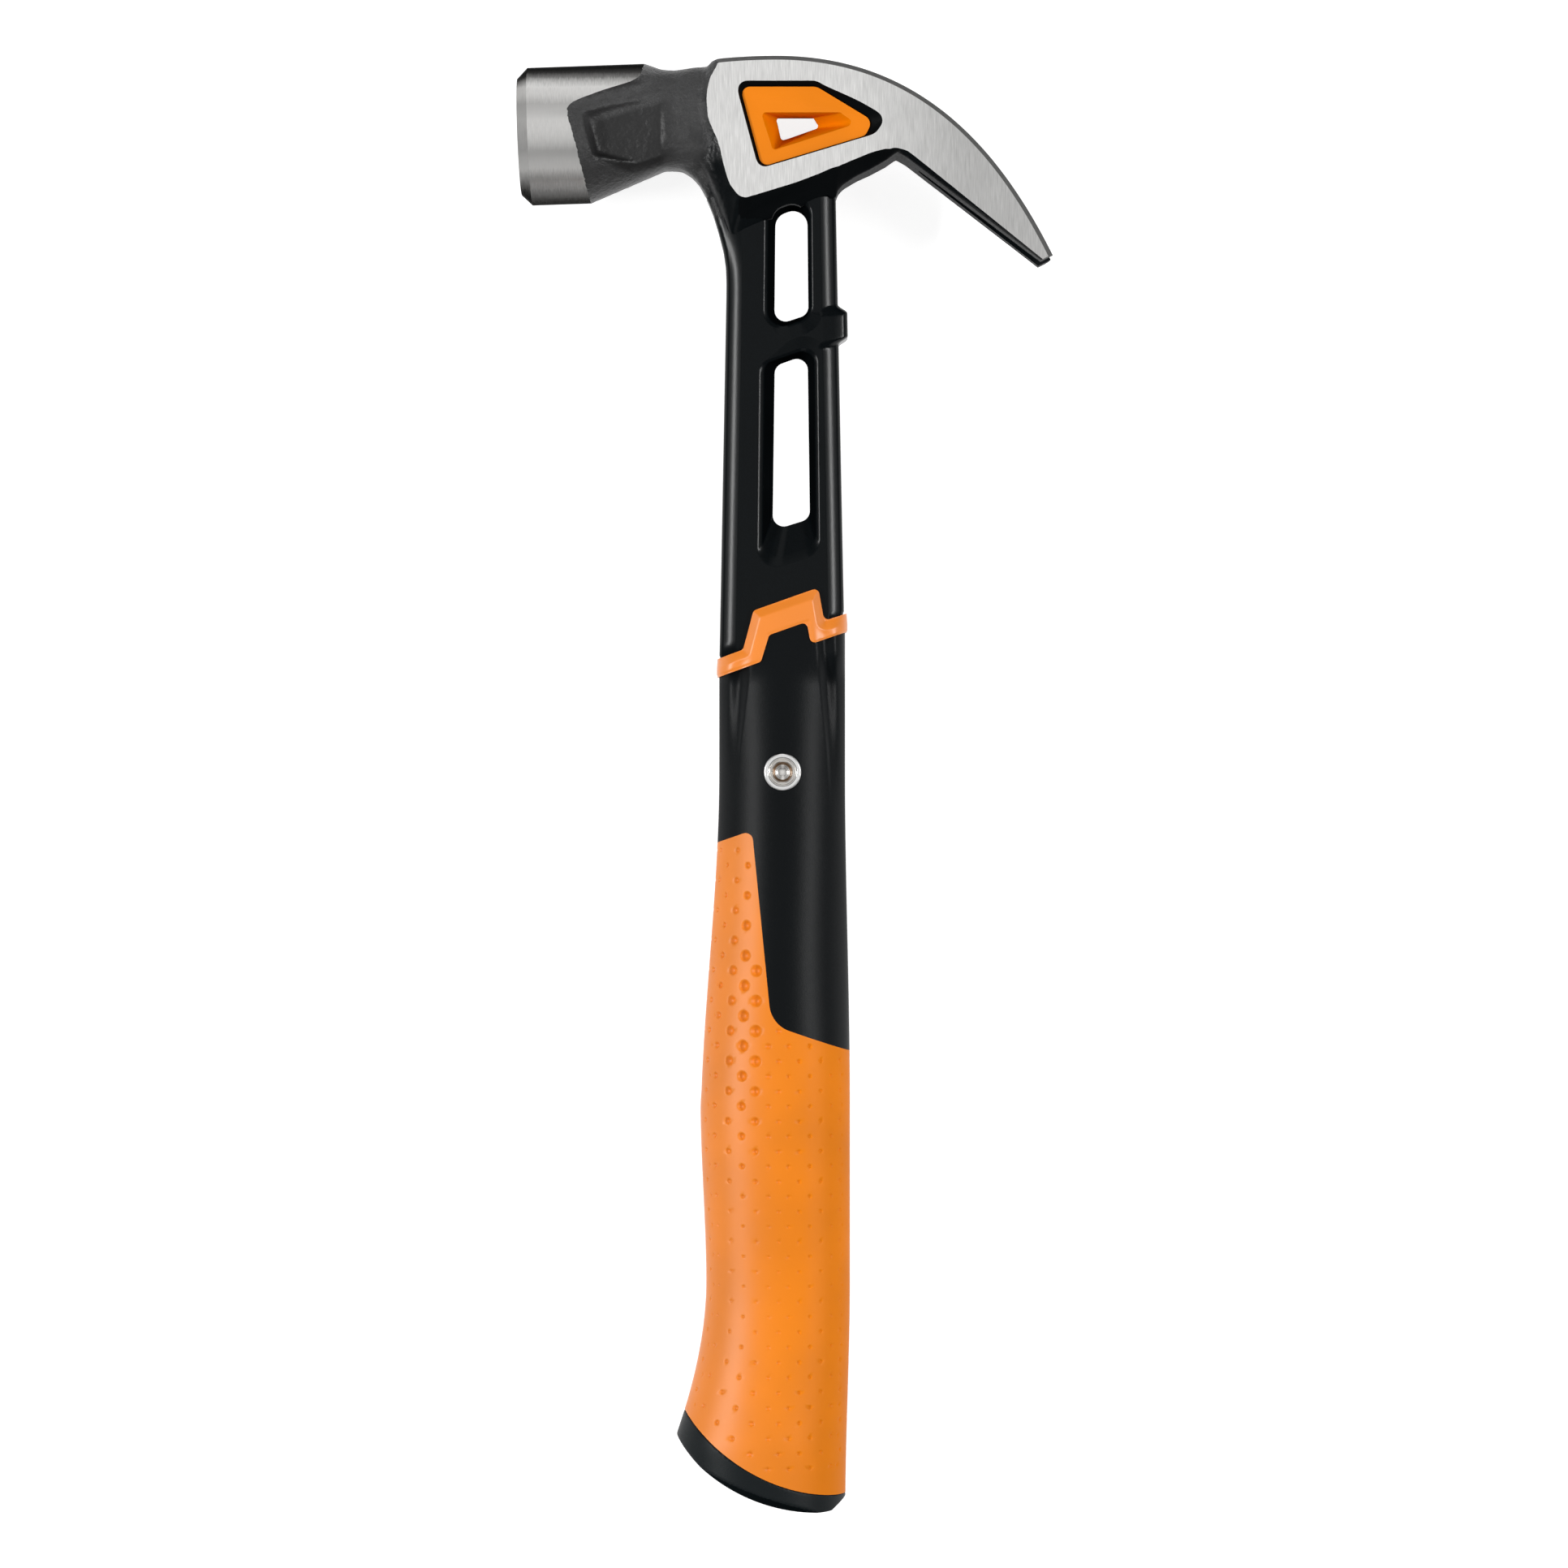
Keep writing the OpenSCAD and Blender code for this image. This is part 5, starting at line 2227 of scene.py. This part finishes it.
    def forge(self) -> Piece:
        """Forges the head, with its fillets and its rough skin.

        Returns:
            The forging.
        """
        blanks = [self.neck_blank(), self.head_blank(), self.flared_root()]
        piece = welded("forged_head", blanks, self.voxel)
        finish_with(piece, "SMOOTH", factor=0.5, iterations=3)
        soft = group_by(piece, "fillets", self.fillets)
        finish_with(piece, "SMOOTH", factor=0.5, iterations=30, vertex_group=soft)
        hammered = bpy.data.textures.new("hammered", "CLOUDS")
        hammered.noise_scale = 1.1
        hammered.noise_depth = 2
        finish_with(
            piece, "DISPLACE", texture=hammered, texture_coords="LOCAL", strength=0.22,
            mid_level=0.5, vertex_group=group_by(piece, "skin", self.forged_skin),
        )
        bpy.data.textures.remove(hammered)
        return piece

    def build_forging(self) -> None:
        """Forges, grinds and turns the head and its shaft."""
        piece = self.forge()
        self.grind(piece)
        carve(piece, self.crown_tool())
        carve(piece, self.poll_tool())
        carve(piece, self.notch_tool())
        carve(piece, prism("light", self.head_slot.outline(), -13, 13))
        datum = DATUM.origin() / MM
        panel = (datum.x - self.face_reach, datum.y + self.poll_axis)
        coat = ForgedCoat(panel=panel).material()
        dry = DRY_COAT.material()
        self.dress(piece, coat, UNDER_COAT.material())
        seat(piece, "head_forging")
        self.build_shaft(coat, dry)

    def dress(
        self, piece: Piece, coat: Finish, low: Finish
    ) -> None:
        """Gives the forging its coat and its ground and turned steel.

        Args:
            piece: The forging.
            coat: The black coat.
            low: The thinner coat on the undersides.
        """
        middle, normal = faces_of(piece)
        (x, y, z), (nx, ny, nz) = middle.T, normal.T
        index = np.full(len(middle), Face.COATED, dtype=np.int32)
        c, s = self.tilt()
        across, up = x + self.face_reach, y - self.poll_axis
        u, v = across * c + up * s, up * c - across * s
        radius = np.hypot(v, z)
        outward = (nz * z + (ny * c - nx * s) * v) / np.maximum(radius, 1e-6)
        index[(u < 40) & (radius > self.poll_r - 0.02) & (outward > 0.97)] = Face.TURNED
        index[u < self.face_bevel + 0.01] = Face.STRUCK
        flat = (np.abs(np.abs(z) - self.cheek_half) < 0.01) & (np.abs(nz) > 0.999) & (x > -28)
        index[flat] = Face.CHEEK
        by_crown = line_distance(x, y, self.crown_line(self.crown_fall / 2)) < self.crown_bevel
        rising = (ny * 0.6 + nx * 0.4 > 0.25) & (np.abs(nz) < 0.9)
        index[by_crown & rising & (x > -18) & ~flat] = Face.CROWN
        lying = ((x < 31) | (nz < 0.45)) & ((x > -6) | (y > TOP - 44))
        index[(index == Face.COATED) & (x > -12) & lying] = Face.UNDER
        axis = DATUM.origin().y + (self.poll_axis + 1.0) * MM
        finishes = {
            Face.COATED: coat,
            Face.CHEEK: CHEEK.material(),
            Face.TURNED: TurnedSteel("turned_poll_painted_reflections", axis, self.poll_r * MM).material(),
            Face.CROWN: CROWN.material(),
            # The struck face takes the poll's painted reflection bands at about half their
            # brightness: painted shade.
            Face.STRUCK: TurnedSteel("struck_face_painted_light", axis, self.poll_r * MM, 0.52).material(),
            Face.UNDER: low,
        }
        paint(piece, [finishes[face] for face in Face], index)
        shade(piece, 38)
        self.crease(piece, index)

    @staticmethod
    def crease(piece: Piece, index: Array) -> None:
        """Marks the edges between finishes as sharp.

        Args:
            piece: The forging.
            index: Finish of each face.
        """
        mesh = piece.data
        first = {}
        sharp = np.zeros(len(mesh.edges), dtype=bool)
        mesh.edges.foreach_get("use_edge_sharp", sharp)
        for polygon, kind in zip(mesh.polygons, index):
            for loop in polygon.loop_indices:
                edge = mesh.loops[loop].edge_index
                if first.setdefault(edge, kind) != kind:
                    sharp[edge] = True
        mesh.edges.foreach_set("use_edge_sharp", sharp)
        mesh.update()

    def insert_half(self, name: str, side: int) -> Piece:
        """Moulds one half of the insert.

        Args:
            name: Name of the piece.
            side: 1 for the near half and -1 for the far one.

        Returns:
            The half with its pocket.
        """
        face = self.cheek_half - self.insert_sink
        pocket = [(0.172, 0.354), (0.25, 0.785), (0.799, 0.481), (0.696, 0.354)]
        light = [(0.27, 0.363), (0.306, 0.624), (0.559, 0.473), (0.517, 0.363)]
        piece = prism(name, self.wall(), 0.0, side * face)
        outer = np.array(rounded(self.in_window(pocket), [1, 1, 1.2, 1.2]))
        inner = np.array(rounded(self.in_window(light), [0.8] * 4))
        if side < 0:
            middle = inner.mean(axis=0)
            outer = middle + (outer - middle) * 1.06 + (0.0, 0.8)
            inner = middle + (inner - middle) * 1.3 + (0.0, 0.6)
        draft = outer - inner
        foot = level(inner - draft * 0.1, -side * face * 0.1)
        carve(piece, stacked("pocket", [foot, level(outer + draft * 0.2, side * face * 1.2)]))
        finish_with(
            piece, "BEVEL", width=0.45, segments=3, limit_method="ANGLE",
            angle_limit=math.radians(35), harden_normals=False,
        )
        return piece

    def build_insert(self) -> None:
        """Moulds both halves of the insert."""
        finish, matt = INSERT.material(), POCKET.material()
        for place, side in (("near", 1), ("far", -1)):
            piece = self.insert_half(f"window_insert_{place}", side)
            _, normal = faces_of(piece)
            paint(piece, [finish, matt], np.abs(normal[:, 2]) < 0.9)
            shade(piece, 30)
            seat(piece, f"head_insert_{place}")

    def build(self) -> None:
        """Builds the forging and the insert."""
        self.build_forging()
        self.build_insert()


# Studio


@dataclass(frozen=True)
class Lamp:
    """Soft box: its place and aim in metres, height and length, and watts."""

    name: str
    at: Triple
    aim: Triple
    size: Point
    power: float

    def hang(self) -> None:
        """Hangs the lamp."""
        data = bpy.data.lights.new(self.name, "AREA")
        data.shape = "RECTANGLE"
        data.size, data.size_y = self.size
        data.energy = self.power
        lamp = bpy.data.objects.new(self.name, data)
        lamp.location = self.at
        sight = Vector(self.aim) - Vector(self.at)
        lamp.rotation_euler = sight.to_track_quat("-Z", "X").to_euler()
        bpy.context.scene.collection.objects.link(lamp)


@dataclass
class Studio:
    """Camera, floor and light."""

    distance: float = 1.45
    width: float = 0.4238
    sensor: float = 36.0
    aim: Point = (-0.000276, -0.0003)
    plane: float = 0.0185
    floor_z: float = -0.0004
    floor_tone: float = 0.45
    floor_glow: float = 0.82
    ambient: float = 0.17
    lamps: tuple[Lamp, ...] = (
        Lamp("key", (-1.22, 0.1, 1.0), (0, 0.1, 0.02), (0.13, 0.65), 17.0),
        Lamp("fill", (1.22, 0.1, 1.0), (0, 0.1, 0.02), (0.10, 0.65), 14.5),
        Lamp("top", (0.0, 0.1, 2.2), (0, 0, 0), (2.2, 2.2), 9.9),
        Lamp("crown", (-0.05, 1.5, 1.0), (-0.05, 0.17, 0.02), (1.6, 0.6), 2.6),
        Lamp("toe", (-0.05, -1.4, 1.0), (-0.05, 0.17, 0.02), (1.2, 0.6), 1.8),
    )

    def camera(self) -> None:
        """Sets the camera over the hammer."""
        data = bpy.data.cameras.new("camera")
        data.sensor_width = self.sensor
        data.lens = self.sensor * self.distance / self.width
        data.clip_start, data.clip_end = 0.05, 50.0
        camera = bpy.data.objects.new("camera", data)
        camera.location = (*self.aim, self.plane + self.distance)
        bpy.context.scene.collection.objects.link(camera)
        bpy.context.scene.camera = camera

    def floor(self) -> None:
        """Lays a pale floor, white where it is seen, that keeps a soft shadow."""
        bpy.ops.object.select_all(action="DESELECT")
        bpy.ops.mesh.primitive_plane_add(size=12.0, location=(0, 0, self.floor_z))
        floor = bpy.context.object
        floor.name = "floor"
        material = bpy.data.materials.new("pale_floor")
        nodes = Nodes(material)
        path = nodes.node("LightPath").outputs
        seen = path["Is Camera Ray"]
        for key in ("Is Glossy Ray", "Is Transmission Ray"):
            seen = nodes.maths("MAXIMUM", seen, path[key])
        diffuse, glow = nodes.node("BsdfDiffuse"), nodes.node("Emission")
        diffuse.inputs["Color"].default_value = (*scaled(WHITE, self.floor_tone), 1)
        glow.inputs["Color"].default_value = (*WHITE, 1)
        nodes.link(nodes.maths("MULTIPLY", seen, self.floor_glow), glow.inputs["Strength"])
        both, out = nodes.node("AddShader"), nodes.node("OutputMaterial")
        nodes.link(diffuse.outputs["BSDF"], both.inputs[0])
        nodes.link(glow.outputs["Emission"], both.inputs[1])
        nodes.link(both.outputs["Shader"], out.inputs["Surface"])
        floor.data.materials.append(material)

    def world(self) -> None:
        """Sets a soft ambient light."""
        world = bpy.data.worlds.new("surround")
        bpy.context.scene.world = world
        nodes = Nodes(world)
        back, out = nodes.node("Background"), nodes.node("OutputWorld")
        back.inputs["Color"].default_value = (*WHITE, 1)
        back.inputs["Strength"].default_value = self.ambient
        nodes.link(back.outputs["Background"], out.inputs["Surface"])

    def build(self) -> None:
        """Sets the whole studio."""
        self.camera()
        self.floor()
        self.world()
        for lamp in self.lamps:
            lamp.hang()
        bpy.context.scene.view_settings.view_transform = "Standard"


def main() -> None:
    """Builds the hammer and its studio."""
    logging.basicConfig(level=logging.INFO, format="%(message)s")
    Studio().build()
    Handle().build()
    Rivet().build()
    Head().build()


if __name__ == "__main__":
    main()
